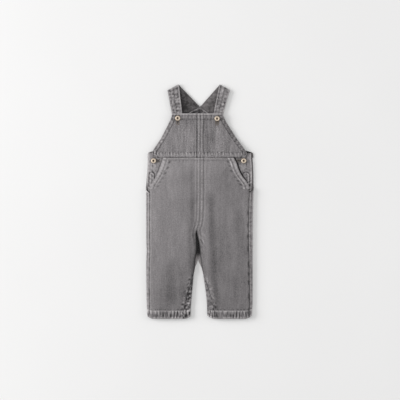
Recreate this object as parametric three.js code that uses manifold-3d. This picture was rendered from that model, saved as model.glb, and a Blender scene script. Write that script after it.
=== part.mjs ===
// Baby's bib-and-brace dungarees in washed grey denim, laid flat on their back.
// Millimetres. +X is the viewer's right, +Y runs from the hems to the shoulders, +Z is up.
// The origin lies on the surface, under the middle of the garment's outline. The tables are measured
// from the centre seam, and every piece is moved from there to the origin as it is added.
// "Out" is the distance from the middle line towards the side named, so both sides share one set of rules.
import * as THREE from 'three';
import { mergeVertices } from 'three/addons/utils/BufferGeometryUtils.js';
import Module from 'manifold-3d';

const wasm = await Module();
wasm.setup();

// Cloth and seams
const CLOTH = 1.1; // one layer of denim
const STRAP = 1.8; // a strap is a pressed tube of two layers
const SEAM_GAP = 0.3; // between pieces that are sewn together
const ROLL = 1.75; // radius of the cloth's middle line where a leg turns over its edge
const ROLL_REACH = ROLL + CLOTH / 2; // from the turned edge to the roll's centre
const EDGE_TOP = CLOTH + 2 * ROLL; // top of the upper layer at a turned edge
const LOFT = 0.8; // extra height of the upper layer, away from the edges
const LOFT_START = 8;
const LOFT_WIDTH = 28;
const FREE_EDGE = 0.8; // the last stretch of a wall that ends flat

// Middle of the outline, as measured from the centre seam
const MIDDLE = { x: -1.05, y: 1 };

// Heights and widths down the garment
const BIB_TOP = 220.5;
const WAIST = 110;
const HEM_EDGE = -292;
const HEM_HEIGHT = 20;
const HEM_RAISE = 0.6;
const HEM_SLOPE = 1.2;
const HEM_CORNER = { left: { lift: 6.5, width: 15 }, right: { lift: 8.5, width: 17 }, fade: 45 };
const CORNER = { raise: 0.15, edge: 1 }; // a band starts low at its very edge

// Bands of doubled cloth beside the seams and edges: width and height
const CENTRE_BAND = { width: 6.4, slope: 1.3, raise: 0.5 };
const POCKET_BAND = { width: 11, slope: 1.6, raise: 0.55 };
const SIDE_SEAM_BAND = { width: 5.4, slope: 1.3, raise: 0.4 };
const BIB_SIDE_BAND = { width: 9.6, slope: 1.4, raise: 0.5 };
const BIB_TOP_BAND = { width: 13.4, slope: 1.5, raise: 0.6 };
const WAIST_BAND = { width: 12, slope: 1.4, raise: 0.5 };
const PLACKET_BAND = { width: 11, slope: 1.4, raise: 0.35 };
const PLACKET_END = 45; // the side opening's doubled edge ends here
const CENTRE_BAND_BELOW = { y: -150, share: 0.6 }; // the inseam is pressed flatter than the centre seam

// Outer edges of the hips and legs
const OUTLINE = [
  { y: 121.5, left: -130.5, right: 130.3 },
  { y: 110, left: -130.9, right: 130.6 },
  { y: 85, left: -131.4, right: 132.1 },
  { y: 55, left: -133.8, right: 132.9 },
  { y: 25, left: -135, right: 132.8 },
  { y: -20, left: -135, right: 131.7 },
  { y: -95, left: -134.8, right: 131.1 },
  { y: -125, left: -134, right: 130.9 },
  { y: -155, left: -135, right: 131 },
  { y: -215, left: -134.5, right: 130.9 },
  { y: -245, left: -134, right: 130.8 },
  { y: -275, left: -132.8, right: 129.6 },
  { y: -292, left: -131.5, right: 128.8 },
];

// The centre seam, front and back, down to the fork
const CENTRE_SEAM = [
  { y: 222, x: 0.2 },
  { y: 110, x: 0.2 },
  { y: 0, x: 0 },
  { y: -40, x: -1.4 },
  { y: -58, x: -4.2 },
  { y: -70, x: -8.4 },
  { y: -100, x: -6.6 },
  { y: -160, x: -5 },
];

// Inner edges of the legs. frontTurn is where the front panel ends on the rolled edge, from 1, on top,
// to 0, underneath; backTurn is where the back panel ends on it.
const FORK_TOP = -70;
const INNER_EDGE = [
  { y: -70, left: -8.55, right: -8.25, frontTurn: 1, backTurn: 0 },
  { y: -80, left: -9.9, right: -7.4, frontTurn: 0.75, backTurn: 0 },
  { y: -90, left: -9.6, right: -5.2, frontTurn: 0.55, backTurn: 0 },
  { y: -100, left: -9, right: -3, frontTurn: 0.45, backTurn: 0 },
  { y: -115, left: -9, right: -0.8, frontTurn: 0.4, backTurn: 0 },
  { y: -128, left: -10.2, right: 0.4, frontTurn: 0.4, backTurn: 0 },
  { y: -140, left: -11.9, right: 1.3, frontTurn: 0.4, backTurn: 0 },
  { y: -150, left: -13, right: 2.3, frontTurn: 0.4, backTurn: 0 },
  { y: -162, left: -13.8, right: 3.9, frontTurn: 0.4, backTurn: 0 },
  { y: -168, left: -14.1, right: 4.8, frontTurn: 0.42, backTurn: 0.1 },
  { y: -174, left: -14.9, right: 6, frontTurn: 0.58, backTurn: 0.33 },
  { y: -179, left: -15.8, right: 6.9, frontTurn: 0.85, backTurn: 0.65 },
  { y: -184, left: -16.4, right: 7.7, frontTurn: 1, backTurn: 1 },
  { y: -200, left: -17.8, right: 10.2, frontTurn: 1, backTurn: 1 },
  { y: -215, left: -19.3, right: 12.4, frontTurn: 1, backTurn: 1 },
  { y: -245, left: -22, right: 16, frontTurn: 1, backTurn: 1 },
  { y: -275, left: -24, right: 17.4, frontTurn: 1, backTurn: 1 },
  { y: -292, left: -24.5, right: 18, frontTurn: 1, backTurn: 1 },
];
const BACK_FORK = { top: -140, length: 30 }; // the back's legs part below its top, in a narrow arch

// How far each seam lies in from its turned edge, on the upper side
const LAPS = [
  { y: 32, sideLeft: 6.2, sideRight: 8, inseam: 0.6 },
  { y: -60, sideLeft: 6, sideRight: 8.4, inseam: 0.6 },
  { y: -152, sideLeft: 5.4, sideRight: 7, inseam: 0.6 },
  { y: -184, sideLeft: 5, sideRight: 6.4, inseam: 1.6 },
  { y: -215, sideLeft: 4.6, sideRight: 5.8, inseam: 6 },
  { y: -245, sideLeft: 4.4, sideRight: 5.2, inseam: 11.5 },
  { y: -275, sideLeft: 4.2, sideRight: 4.6, inseam: 16 },
  { y: -292, sideLeft: 4, sideRight: 4.2, inseam: 17 },
];

// The side openings end where the back panel's edge turns over to the front
const SIDE_TURN = [
  { y: 44, turn: 0 },
  { y: 36, turn: 0.2 },
  { y: 30, turn: 0.6 },
  { y: 22, turn: 1 },
];

// Curved pocket mouths, cut out of the front panels
const POCKET_END = 32;
const POCKET_MOUTH = [
  { y: 110, left: -93, right: 84 },
  { y: 97, left: -96.5, right: 90.5 },
  { y: 82, left: -102, right: 95.5 },
  { y: 66, left: -109, right: 103.5 },
  { y: 51, left: -118, right: 115 },
  { y: 40, left: -124.6, right: 121.8 },
  { y: 32, left: -127, right: 123.4 },
];
const POCKET_UNDERLAP = 9;

// Side pieces, from the waist down behind the pocket mouths; inset is their distance from the outline
const SIDE_PIECE = [
  { y: 121.5, insetLeft: 0.5, insetRight: 3.4 },
  { y: 110, insetLeft: 0.5, insetRight: 3.4 },
  { y: 97, insetLeft: 0.5, insetRight: 3.2 },
  { y: 82, insetLeft: 0.6, insetRight: 3 },
  { y: 66, insetLeft: 0.8, insetRight: 3 },
  { y: 51, insetLeft: 1.6, insetRight: 3 },
  { y: 42, insetLeft: 2.4, insetRight: 3.4 },
  { y: 36, insetLeft: 3.2, insetRight: 4 },
  { y: 27, insetLeft: 4.8, insetRight: 5.5 },
];
const SIDE_PIECE_TOP = 2.9; // level all over, clear of the front panels above it
const SIDE_PIECE_NARROW = 20; // where it is narrower than this, its columns close up

// Front bib: side edges, and the height of its upper face at those edges
const BIB_EDGE = [
  { y: 220.5, left: -69.6, right: 55.6, edgeTop: 5.6 },
  { y: 210, left: -72.2, right: 59.4, edgeTop: 5.3 },
  { y: 195, left: -79.1, right: 67.4, edgeTop: 3.6 },
  { y: 175, left: -89.3, right: 80.3, edgeTop: 2.8 },
  { y: 160, left: -97.2, right: 90, edgeTop: 2.8 },
  { y: 145, left: -106.8, right: 100.7, edgeTop: 3.6 },
  { y: 130, left: -116.6, right: 111.6, edgeTop: 4.8 },
  { y: 122, left: -120.7, right: 116.4, edgeTop: 5 },
  { y: 110, left: -114.5, right: 112, edgeTop: 5 },
];
const BIB_HEIGHT = 5.7;
const BIB_SLOPE_WIDTH = 14;

// Upper back and its inner facing: side edges, and how much higher the middle of each row stands
const BACK_BIB = [
  { y: 207, left: -42, right: 41, peak: 21.4 },
  { y: 185, left: -52, right: 50, peak: 13 },
  { y: 165, left: -64, right: 62, peak: 8 },
  { y: 145, left: -84, right: 82, peak: 4 },
  { y: 130, left: -108, right: 107, peak: 1.5 },
  { y: 121.5, left: -130.5, right: 131.7, peak: 0 },
  { y: 110.15, left: -131, right: 133, peak: 0 },
];
const BACK_BIB_LEVELS = [207, 196, 185, 175, 165, 155, 145, 137, 130, 121.5, 110.15];
const BACK_FACING = [
  { y: 215.4, left: -41, right: 30, peak: 21.2 },
  { y: 210, left: -40, right: 28.6, peak: 18.2 },
  { y: 204, left: -38.6, right: 26.6, peak: 14.4 },
];
const BACK_FACING_LEVELS = BACK_FACING.map((row) => row.y);
const FACING_BOTTOM = STRAP + SEAM_GAP;
const BACK_PEAK = { x: -0.5, y: 237 };

// Straps: outer and inner edges, from the end under the bib, over the shoulder fold, to the upper back
const STRAP_FRONT_BOTTOM = STRAP + SEAM_GAP;
const STRAP_TUCK = 8; // length of the strap's end under the facing
const STRAPS = {
  left: {
    end: { outer: [-65.6, 192.5], inner: [-41.6, 192.5] },
    fold: { outer: [-81.6, 278.2], inner: [-53.3, 292.4] },
    back: { outer: [-42, 215.3], inner: [BACK_PEAK.x - SEAM_GAP / 2, BACK_PEAK.y] },
  },
  right: {
    end: { outer: [49.4, 192.5], inner: [27.8, 192.5] },
    fold: { outer: [73.8, 277.2], inner: [47.8, 291.4] },
    back: { outer: [41, 215.3], inner: [BACK_PEAK.x + SEAM_GAP / 2, BACK_PEAK.y] },
  },
};
const STRAP_EDGE = { share: 0.12, raise: 0.25 }; // a strap is a little fuller between its edges

// Tack buttons: a rolled rim round a hollow centre, on a stem through the buttonhole
const BUTTON = { radius: 7, height: 3.1, hollow: 2.7, stem: 1.05, around: 18 };
const BUTTON_RIM = { half: 1.7, under: 0.84 }; // half its height; where it ends under the cap
const BUTTON_HOLLOW = [ // from the rim to the middle: share of the hollow's radius, and height in the cap
  { reach: 0.92, height: 0.9 },
  { reach: 0.66, height: 1.3 },
  { reach: 0, height: 1.9 },
];
const BUTTONHOLE = { length: 16, width: 2.6, before: 3 };
const BIB_FASTENING = { carriedBy: STRAP_FRONT_BOTTOM + STRAP, capAt: 6.6 };
const SIDE_FASTENING = { carriedBy: CLOTH, capAt: 3.7 };
const BUTTONS = [
  { name: 'button_bib_left', x: -56, y: 208.5, hole: 'down', on: BIB_FASTENING },
  { name: 'button_bib_right', x: 42.2, y: 207.4, hole: 'down', on: BIB_FASTENING },
  { name: 'button_side_left', x: -116.5, y: 102.4, hole: 'in', on: SIDE_FASTENING },
  { name: 'button_side_right', x: 108.8, y: 102.4, hole: 'in', on: SIDE_FASTENING },
];

// Largest folds of the upper layer: soft troughs and ridges from one end to the other, fading at both
const FOLD_FADE = 0.3; // share of its length
const FOLDS = [
  { x: 30, y: -30, toX: 37, toY: -235, width: 9, rise: -1.2 }, // hollow down the right thigh
  { x: 14, y: 15, toX: 21, toY: -185, width: 8, rise: 0.45 }, // ridge beside the fork
  { x: 60, y: -120, toX: 67, toY: -255, width: 17, rise: 0.35 },
  { x: 100, y: 10, toX: 98, toY: -190, width: 12, rise: -0.5 },
  { x: -15, y: 40, toX: -17, toY: -110, width: 8, rise: -0.8 }, // hollow beside the centre seam
  { x: -68, y: -130, toX: -72, toY: -275, width: 16, rise: -0.9 }, // hollow down the left shin
  { x: -98, y: -110, toX: -100, toY: -265, width: 14, rise: 0.4 },
  { x: -42, y: -20, toX: -44, toY: -200, width: 13, rise: 0.35 },
  { x: -74, y: 92, toX: -62, toY: 0, width: 15, rise: 0.3 },
  { x: 66, y: 90, toX: 74, toY: 20, width: 11, rise: -0.45 },
  { x: 24, y: 196, toX: 22, toY: 130, width: 11, rise: -0.5 },
  { x: -30, y: 200, toX: -34, toY: 128, width: 13, rise: 0.25 },
];

// Levels at which the pieces have a row of points
const HEM_TOP = HEM_EDGE + HEM_HEIGHT;
const LEG_LEVELS = [
  WAIST - SEAM_GAP / 2, 97, 82, 66, 51, 40, 32, 22, 5, -15, -35, -55, -70, -80, -90, -100, -115, -128,
  -140, -145, -150, -156, -162, -168, -174, -179, -184, -200, -220, -240, -258,
  HEM_TOP + HEM_SLOPE, HEM_TOP, -284, HEM_EDGE,
];
const BIB_LEVELS = [
  ...[0, CORNER.edge, BIB_TOP_BAND.width, BIB_TOP_BAND.width + BIB_TOP_BAND.slope].map((d) => BIB_TOP - d),
  195, 184, 172, 158, 145, 134,
  ...[WAIST_BAND.width + WAIST_BAND.slope, WAIST_BAND.width, CORNER.edge, SEAM_GAP / 2]
    .map((d) => WAIST + d),
];

const SIGN = { left: -1, right: 1 };
const denim = new THREE.MeshStandardMaterial({ color: 0x83807f, roughness: 0.95, metalness: 0 });
const paleDenim = new THREE.MeshStandardMaterial({ color: 0x8e8a8a, roughness: 0.95, metalness: 0 });
const insideDenim = new THREE.MeshStandardMaterial({ color: 0x5f5c5c, roughness: 0.95, metalness: 0 });
const paleBrass = new THREE.MeshStandardMaterial({ color: 0xd2bfa2, roughness: 0.35, metalness: 0.9 });

const ease = (t) => {
  const s = THREE.MathUtils.clamp(t, 0, 1);
  return s * s * (3 - 2 * s);
};
const mix = THREE.MathUtils.lerp;

// The value of one column of a table at level y, on a smooth curve through its rows, which never
// overshoots them. Past the ends it stays level.
function valueAt(table, name, y) {
  const last = table.length - 1;
  if (y >= table[0].y) return table[0][name];
  if (y <= table[last].y) return table[last][name];
  const slope = (i) => (table[i + 1][name] - table[i][name]) / (table[i + 1].y - table[i].y);
  const tangent = (i) => {
    if (i === 0 || i === last) return slope(Math.min(i, last - 1));
    const before = slope(i - 1);
    const after = slope(i);
    return before * after <= 0 ? 0 : (2 * before * after) / (before + after);
  };
  const i = table.findIndex((row) => row.y <= y) - 1;
  const width = table[i + 1].y - table[i].y;
  const t = (y - table[i].y) / width;
  return (
    (2 * t ** 3 - 3 * t ** 2 + 1) * table[i][name] +
    (t ** 3 - 2 * t ** 2 + t) * width * tangent(i) +
    (3 * t ** 2 - 2 * t ** 3) * table[i + 1][name] +
    (t ** 3 - t ** 2) * width * tangent(i + 1)
  );
}

// Distance out from the middle line of a column named after a side
const outAt = (table, side, y) => SIGN[side] * valueAt(table, side, y);
const seamOut = (side, y) => SIGN[side] * valueAt(CENTRE_SEAM, 'x', y) + SEAM_GAP / 2;
const lapName = { left: 'sideLeft', right: 'sideRight' };
const insetName = { left: 'insetLeft', right: 'insetRight' };

// Height that the folds add at a place: a rounded trough or ridge that fades at both ends
function foldsAt(x, y) {
  return FOLDS.reduce((sum, f) => {
    const along = new THREE.Vector2(f.toX - f.x, f.toY - f.y);
    const from = new THREE.Vector2(x - f.x, y - f.y);
    const t = from.dot(along) / along.lengthSq();
    const away = Math.abs(from.cross(along)) / along.length();
    const fade = ease(t / FOLD_FADE) * ease((1 - t) / FOLD_FADE);
    return sum + f.rise * fade * Math.exp(-((away / f.width) ** 2));
  }, 0);
}

// A band of doubled cloth: full height up to its width, then a short slope
function bandAt(distance, band) {
  if (distance < 0) return 0;
  if (distance < CORNER.edge) return mix(CORNER.raise, band.raise, distance / CORNER.edge);
  return band.raise * (1 - ease((distance - band.width) / band.slope));
}

const hemRaise = (y) => HEM_RAISE * ease((HEM_TOP + HEM_SLOPE - y) / HEM_SLOPE);

// The hem curves up a little towards the edges of each leg
function hemLift(side, distance, y) {
  const { lift, width } = HEM_CORNER[side];
  const near = Math.max(0, 1 - Math.max(0, distance) / width) ** 2;
  return lift * near * ease((HEM_EDGE + HEM_CORNER.fade - y) / HEM_CORNER.fade);
}

// Upper face of the upper layer on the hips and legs
function legTop(side, out, y) {
  const inner = y < FORK_TOP ? outAt(INNER_EDGE, side, y) : -Infinity;
  const edge = Math.min(outAt(OUTLINE, side, y) - out, out - inner);
  return EDGE_TOP + LOFT * ease((edge - LOFT_START) / LOFT_WIDTH) + foldsAt(SIGN[side] * out, y) *
    ease(edge / LOFT_START);
}

// A wall between two grids of points, outer and inner, closed along its four edges
function wall(grid) {
  const rows = grid.length;
  const columns = grid[0].length;
  const last = columns - 1;
  const face = (layer) => grid.flatMap((row) => row.flatMap((point) => point[layer]));
  const position = new Float32Array([...face('outer'), ...face('inner')]);
  const outer = (r, c) => r * columns + c;
  const inner = (r, c) => rows * columns + outer(r, c);
  const index = [];
  const quad = (a, b, c, d) => index.push(a, b, c, a, c, d);
  for (let r = 0; r < rows - 1; r++) {
    for (let c = 0; c < columns - 1; c++) {
      quad(outer(r, c), outer(r + 1, c), outer(r + 1, c + 1), outer(r, c + 1));
      quad(inner(r, c), inner(r, c + 1), inner(r + 1, c + 1), inner(r + 1, c));
    }
  }
  for (let r = 0; r < rows - 1; r++) {
    quad(outer(r + 1, 0), outer(r, 0), inner(r, 0), inner(r + 1, 0));
    quad(outer(r, last), outer(r + 1, last), inner(r + 1, last), inner(r, last));
  }
  for (let c = 0; c < columns - 1; c++) {
    quad(outer(0, c), outer(0, c + 1), inner(0, c + 1), inner(0, c));
    quad(outer(rows - 1, c + 1), outer(rows - 1, c), inner(rows - 1, c), inner(rows - 1, c + 1));
  }
  const geometry = new THREE.BufferGeometry();
  geometry.setAttribute('position', new THREE.BufferAttribute(position, 3));
  geometry.setIndex(signedVolume(position, index) < 0 ? index.reverse() : index);
  return geometry;
}

function signedVolume(position, index) {
  const corner = (i) => new THREE.Vector3().fromArray(position, 3 * index[i]);
  let volume = 0;
  for (let i = 0; i < index.length; i += 3) {
    volume += corner(i).dot(corner(i + 1).cross(corner(i + 2))) / 6;
  }
  return volume;
}

// A point of a wall that lies like a sheet: its upper face, with what is raised on it, and its lower face
const sheetPoint = (x, y, top, raise = 0) => ({ outer: [x, y, top + raise], inner: [x, y, top - CLOTH] });

// Places across a piece: fixed distances from each end, and even steps between them
function spread(from, to, fromEnd, steps, toEnd) {
  const start = from + fromEnd.at(-1);
  const end = to - toEnd.at(-1);
  const middle = Array.from({ length: steps - 1 }, (_, i) => mix(start, end, (i + 1) / steps));
  return [...fromEnd.map((d) => from + d), ...middle, ...[...toEnd].reverse().map((d) => to - d)];
}

const bandSteps = (band) => [0, CORNER.edge, band.width, band.width + band.slope];

// Where the front panel starts at its inner edge: on the centre seam, or on the turned edge of a leg
function frontInner(side, y) {
  if (y >= FORK_TOP) return { turn: 1, centre: seamOut(side, y) };
  const turn = valueAt(INNER_EDGE, 'frontTurn', y);
  const back = valueAt(INNER_EDGE, 'backTurn', y);
  const reach = back > 0 ? 1 : Math.sin(Math.PI * Math.max(turn, 0.5));
  const lap = turn >= 1 ? valueAt(LAPS, 'inseam', y) + SEAM_GAP : 0;
  return { turn, centre: outAt(INNER_EDGE, side, y) + ROLL_REACH * reach + lap };
}

function frontOuter(side, y) {
  if (y > POCKET_END) return outAt(POCKET_MOUTH, side, y);
  const seam = outAt(OUTLINE, side, y) - ROLL_REACH - valueAt(LAPS, lapName[side], y) - SEAM_GAP;
  return mix(outAt(POCKET_MOUTH, side, POCKET_END), seam, ease((POCKET_END - y) / 10));
}

// A front panel, from the waist seam to the hem, with the pocket's corner cut away
function frontPanel(side) {
  const rows = LEG_LEVELS.map((y) => {
    const { turn, centre } = frontInner(side, y);
    const turned = ROLL * Math.PI * (1 - turn);
    const outerEnd = frontOuter(side, y);
    const centreShare = y > CENTRE_BAND_BELOW.y ? 1 : CENTRE_BAND_BELOW.share;
    const edgeBand = y > POCKET_END ? POCKET_BAND : SIDE_SEAM_BAND;
    const length = outerEnd - centre + turned;
    return spread(0, length, bandSteps(CENTRE_BAND), 6, bandSteps(POCKET_BAND)).map((s) => {
      const outEdge = length - s;
      const raise = bandAt(s, CENTRE_BAND) * centreShare + bandAt(outEdge, edgeBand) + hemRaise(y);
      if (s < turned) {
        const angle = Math.PI * turn + s / ROLL;
        const out = centre - ROLL * Math.sin(angle);
        const z = CLOTH / 2 + ROLL * (1 - Math.cos(angle));
        const across = -Math.sin(angle) * CLOTH / 2;
        const up = -Math.cos(angle) * CLOTH / 2;
        const x = SIGN[side];
        return { outer: [x * (out + across), y, z + up], inner: [x * (out - across), y, z - up] };
      }
      const out = centre + s - turned;
      const edge = Math.min(outAt(OUTLINE, side, y) - out, out - outAt(INNER_EDGE, side, y));
      const lifted = y + hemLift(side, edge, y);
      return sheetPoint(SIGN[side] * out, lifted, legTop(side, out, y), raise);
    });
  });
  return wall(rows);
}

// Points of a wall's middle line that turns up from the floor, then laps back over it. They start at
// the roll's foot; turn runs from 0, flat, to 1, turned right over.
function turnedEdge(turn, lap, rollSteps, lapSteps) {
  const angle = Math.max(Math.PI * turn, 1e-4);
  const length = mix(ROLL_REACH - FREE_EDGE, Math.PI * ROLL, turn);
  const radius = length / angle;
  const lapLength = mix(FREE_EDGE, lap, ease((turn - 0.6) / 0.4));
  const roll = Array.from({ length: rollSteps }, (_, i) => (angle * (i + 1)) / rollSteps).map((a) => ({
    out: radius * Math.sin(a), z: radius * (1 - Math.cos(a)), across: Math.sin(a), up: -Math.cos(a),
  }));
  const end = roll.at(-1);
  const lapped = Array.from({ length: lapSteps }, (_, i) => (lapLength * (i + 1)) / lapSteps).map((s) => ({
    ...end, out: end.out + s * Math.cos(angle), z: end.z + s * Math.sin(angle),
  }));
  return [...roll, ...lapped];
}

// A back panel lies on the surface, and turns over both edges of its leg to the seams on the upper side
function backPanel(side) {
  const rows = LEG_LEVELS.map((y) => {
    const outline = outAt(OUTLINE, side, y);
    const forked = y < BACK_FORK.top;
    const parting = ease((BACK_FORK.top - y) / BACK_FORK.length);
    const innerEdge = mix(seamOut(side, y), outAt(INNER_EDGE, side, y), parting);
    const innerTurn = valueAt(INNER_EDGE, 'backTurn', y);
    const outerTurn = valueAt(SIDE_TURN, 'turn', y);
    const innerFoot = innerEdge + ROLL_REACH;
    const outerFoot = outline - ROLL_REACH;
    const inner = turnedEdge(innerTurn, valueAt(LAPS, 'inseam', y), 4, 2)
      .map((p) => ({ ...p, out: innerFoot - p.out, across: -p.across }));
    const outer = turnedEdge(outerTurn, valueAt(LAPS, lapName[side], y), 4, 2)
      .map((p) => ({ ...p, out: outerFoot + p.out }));
    const flat = [0, 0.12, 0.5, 0.88, 1]
      .map((t) => ({ out: mix(innerFoot, outerFoot, t), z: 0, across: 0, up: -1 }));
    return [...inner.reverse(), ...flat, ...outer].map((p) => {
      const overturned = (1 + p.up) / 2;
      const raised = CLOTH / 2 + hemRaise(y) * overturned;
      const clear = Math.min(outline - p.out, forked ? p.out - innerEdge : Infinity);
      const lifted = y + hemLift(side, clear, y);
      const x = SIGN[side];
      const z = p.z + CLOTH / 2;
      return {
        outer: [x * (p.out + p.across * raised), lifted, z + p.up * raised],
        inner: [x * (p.out - p.across * CLOTH / 2), lifted, z - p.up * CLOTH / 2],
      };
    });
  });
  return wall(rows);
}

// A side piece fills the pocket mouth, and buttons over the back at the hip
function sidePiece(side) {
  const rows = SIDE_PIECE.map(({ y }) => {
    const outerEnd = outAt(OUTLINE, side, y) - valueAt(SIDE_PIECE, insetName[side], y);
    const innerEnd = outAt(POCKET_MOUTH, side, y) - POCKET_UNDERLAP;
    const squeeze = Math.min(1, (outerEnd - innerEnd) / SIDE_PIECE_NARROW);
    const fromEnd = [0, 4 * squeeze];
    const toEnd = bandSteps(PLACKET_BAND).map((step) => step * squeeze);
    return spread(innerEnd, outerEnd, fromEnd, 2, toEnd).map((out) => {
      const band = y > PLACKET_END ? bandAt(outerEnd - out, PLACKET_BAND) : 0;
      return sheetPoint(SIGN[side] * out, y, SIDE_PIECE_TOP, band);
    });
  });
  return wall(rows);
}

// Upper face of the front bib
function bibTop(side, out, y) {
  const edge = outAt(BIB_EDGE, side, y) - out;
  const low = valueAt(BIB_EDGE, 'edgeTop', y);
  const rise = ease(edge / BIB_SLOPE_WIDTH);
  return mix(low, BIB_HEIGHT, rise) + foldsAt(SIGN[side] * out, y) * rise;
}

// One half of the front bib, hemmed at the top and side, with the waist seam's turnings below
function bibPanel(side) {
  const rows = BIB_LEVELS.map((y) => {
    const outerEnd = outAt(BIB_EDGE, side, y);
    const centre = seamOut(side, y);
    return spread(centre, outerEnd, bandSteps(CENTRE_BAND), 4, bandSteps(BIB_SIDE_BAND)).map((out) => {
      const raise = Math.max(
        bandAt(out - centre, CENTRE_BAND),
        bandAt(outerEnd - out, BIB_SIDE_BAND),
        bandAt(BIB_TOP - y, BIB_TOP_BAND),
        bandAt(y - WAIST, WAIST_BAND),
      );
      return sheetPoint(SIGN[side] * out, y, bibTop(side, out, y), raise);
    });
  });
  return wall(rows);
}

// A sheet whose rows rise to a peak over the middle, as the pointed upper back does
function peakedSheet(table, levels, steps, top) {
  const rows = levels.map((y) =>
    Array.from({ length: steps + 1 }, (_, i) => {
      const left = valueAt(table, 'left', y);
      const right = valueAt(table, 'right', y);
      const x = i <= steps / 2
        ? mix(left, BACK_PEAK.x, (2 * i) / steps)
        : mix(BACK_PEAK.x, right, (2 * i) / steps - 1);
      const side = x < BACK_PEAK.x ? left : right;
      const peak = valueAt(table, 'peak', y) * (1 - (x - BACK_PEAK.x) / (side - BACK_PEAK.x));
      return sheetPoint(x, y + peak, top);
    }),
  );
  return wall(rows);
}

// A strap runs from under the bib to the shoulder, folds over, and widens to the upper back
function strap(side) {
  const { end, fold, back } = STRAPS[side];
  const topMiddle = STRAP_FRONT_BOTTOM + STRAP / 2;
  const floorMiddle = STRAP / 2;
  const radius = (topMiddle - floorMiddle) / 2;
  const between = (a, b, t) => ({
    outer: [mix(a.outer[0], b.outer[0], t), mix(a.outer[1], b.outer[1], t)],
    inner: [mix(a.inner[0], b.inner[0], t), mix(a.inner[1], b.inner[1], t)],
  });
  const foldLine = new THREE.Vector2(...fold.inner).sub(new THREE.Vector2(...fold.outer)).normalize();
  const pastFold = new THREE.Vector2(-foldLine.y, foldLine.x).multiplyScalar(Math.sign(foldLine.x));
  const tucked = {
    outer: [back.outer[0], back.outer[1] - STRAP_TUCK],
    inner: [back.inner[0], back.inner[1] - STRAP_TUCK],
  };
  const front = Array.from({ length: 8 }, (_, i) => ({ ...between(end, fold, i / 8), turn: 0 }));
  const turned = Array.from({ length: 6 }, (_, i) => ({ ...fold, turn: i / 5 }));
  const rear = Array.from({ length: 7 }, (_, i) => ({ ...between(fold, back, (i + 1) / 7), turn: 1 }));
  const rows = [...front, ...turned, ...rear, { ...tucked, turn: 1 }].map((row) => {
    const angle = Math.PI * row.turn;
    const push = radius * Math.sin(angle);
    const z = (topMiddle + floorMiddle) / 2 + radius * Math.cos(angle);
    return [0, STRAP_EDGE.share, 0.5, 1 - STRAP_EDGE.share, 1].map((t) => {
      const x = mix(row.outer[0], row.inner[0], t) + pastFold.x * push;
      const y = mix(row.outer[1], row.inner[1], t) + pastFold.y * push;
      const fuller = t > 0 && t < 1 && row.turn < 1 ? STRAP_EDGE.raise * Math.cos(angle / 2) : 0;
      const direction = [pastFold.x * Math.sin(angle), pastFold.y * Math.sin(angle), Math.cos(angle)];
      const shifted = (distance) => [x, y, z].map((value, axis) => value + direction[axis] * distance);
      return { outer: shifted(STRAP / 2 + fuller), inner: shifted(-STRAP / 2) };
    });
  });
  return wall(rows);
}

// A closed geometry as a solid that can be cut, and back again
function solidOf(geometry) {
  const bare = new THREE.BufferGeometry();
  bare.setAttribute('position', geometry.getAttribute('position').clone());
  bare.setIndex(geometry.index ? geometry.index.clone() : null);
  const merged = mergeVertices(bare, 1e-4);
  return new wasm.Manifold(
    new wasm.Mesh({
      numProp: 3,
      vertProperties: new Float32Array(merged.attributes.position.array),
      triVerts: new Uint32Array(merged.index.array),
    }),
  );
}

function geometryOf(solid) {
  const mesh = solid.getMesh();
  return new THREE.BufferGeometry()
    .setAttribute('position', new THREE.BufferAttribute(new Float32Array(mesh.vertProperties), 3))
    .setIndex(new THREE.BufferAttribute(new Uint32Array(mesh.triVerts), 1));
}

// Cuts a buttonhole: a slot with round ends that starts just past the stem, down the bib or in from
// the side
function withButtonhole(geometry, button) {
  const radius = BUTTONHOLE.width / 2;
  const reach = BUTTONHOLE.length - BUTTONHOLE.before;
  const slot = new THREE.Shape()
    .absarc(BUTTONHOLE.before, 0, radius, -Math.PI / 2, Math.PI / 2, false)
    .absarc(-reach, 0, radius, Math.PI / 2, (3 * Math.PI) / 2, false);
  const cutter = new THREE.ExtrudeGeometry(slot, { depth: 12, bevelEnabled: false, curveSegments: 5 });
  const angle = button.hole === 'down' ? Math.PI / 2 : button.x < 0 ? Math.PI : 0;
  cutter.rotateZ(angle).translate(button.x, button.y, -1);
  return geometryOf(solidOf(geometry).subtract(solidOf(cutter)));
}

// A tack button: rolled rim, hollow centre with the tack's domed head, and the stem down to its layer
function button({ on }) {
  const { radius, height, hollow, stem, around } = BUTTON;
  const cap = on.capAt;
  const foot = on.carriedBy + SEAM_GAP;
  const rim = (radius + hollow) / 2;
  const half = (radius - hollow) / 2;
  const rimMiddle = cap + height - BUTTON_RIM.half;
  const arc = Array.from({ length: 7 }, (_, i) => {
    const angle = (Math.PI * (i - 1)) / 5;
    return new THREE.Vector2(rim + half * Math.cos(angle), rimMiddle + BUTTON_RIM.half * Math.sin(angle));
  });
  const profile = [
    new THREE.Vector2(0, foot),
    new THREE.Vector2(stem, foot),
    new THREE.Vector2(stem, cap),
    new THREE.Vector2(radius * BUTTON_RIM.under, cap),
    ...arc.slice(1, 6),
    ...BUTTON_HOLLOW.map((step) => new THREE.Vector2(hollow * step.reach, cap + step.height)),
  ];
  return new THREE.LatheGeometry(profile, around);
}

function buttonMesh(spec) {
  const flat = button(spec).rotateX(Math.PI / 2);
  const mesh = new THREE.Mesh(flat, paleBrass);
  mesh.name = spec.name;
  mesh.position.set(spec.x - MIDDLE.x, spec.y - MIDDLE.y, 0);
  return mesh;
}

function add(group, name, geometry, material) {
  geometry.translate(-MIDDLE.x, -MIDDLE.y, 0).computeVertexNormals();
  const mesh = new THREE.Mesh(geometry, material);
  mesh.name = name;
  group.add(mesh);
}

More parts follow.
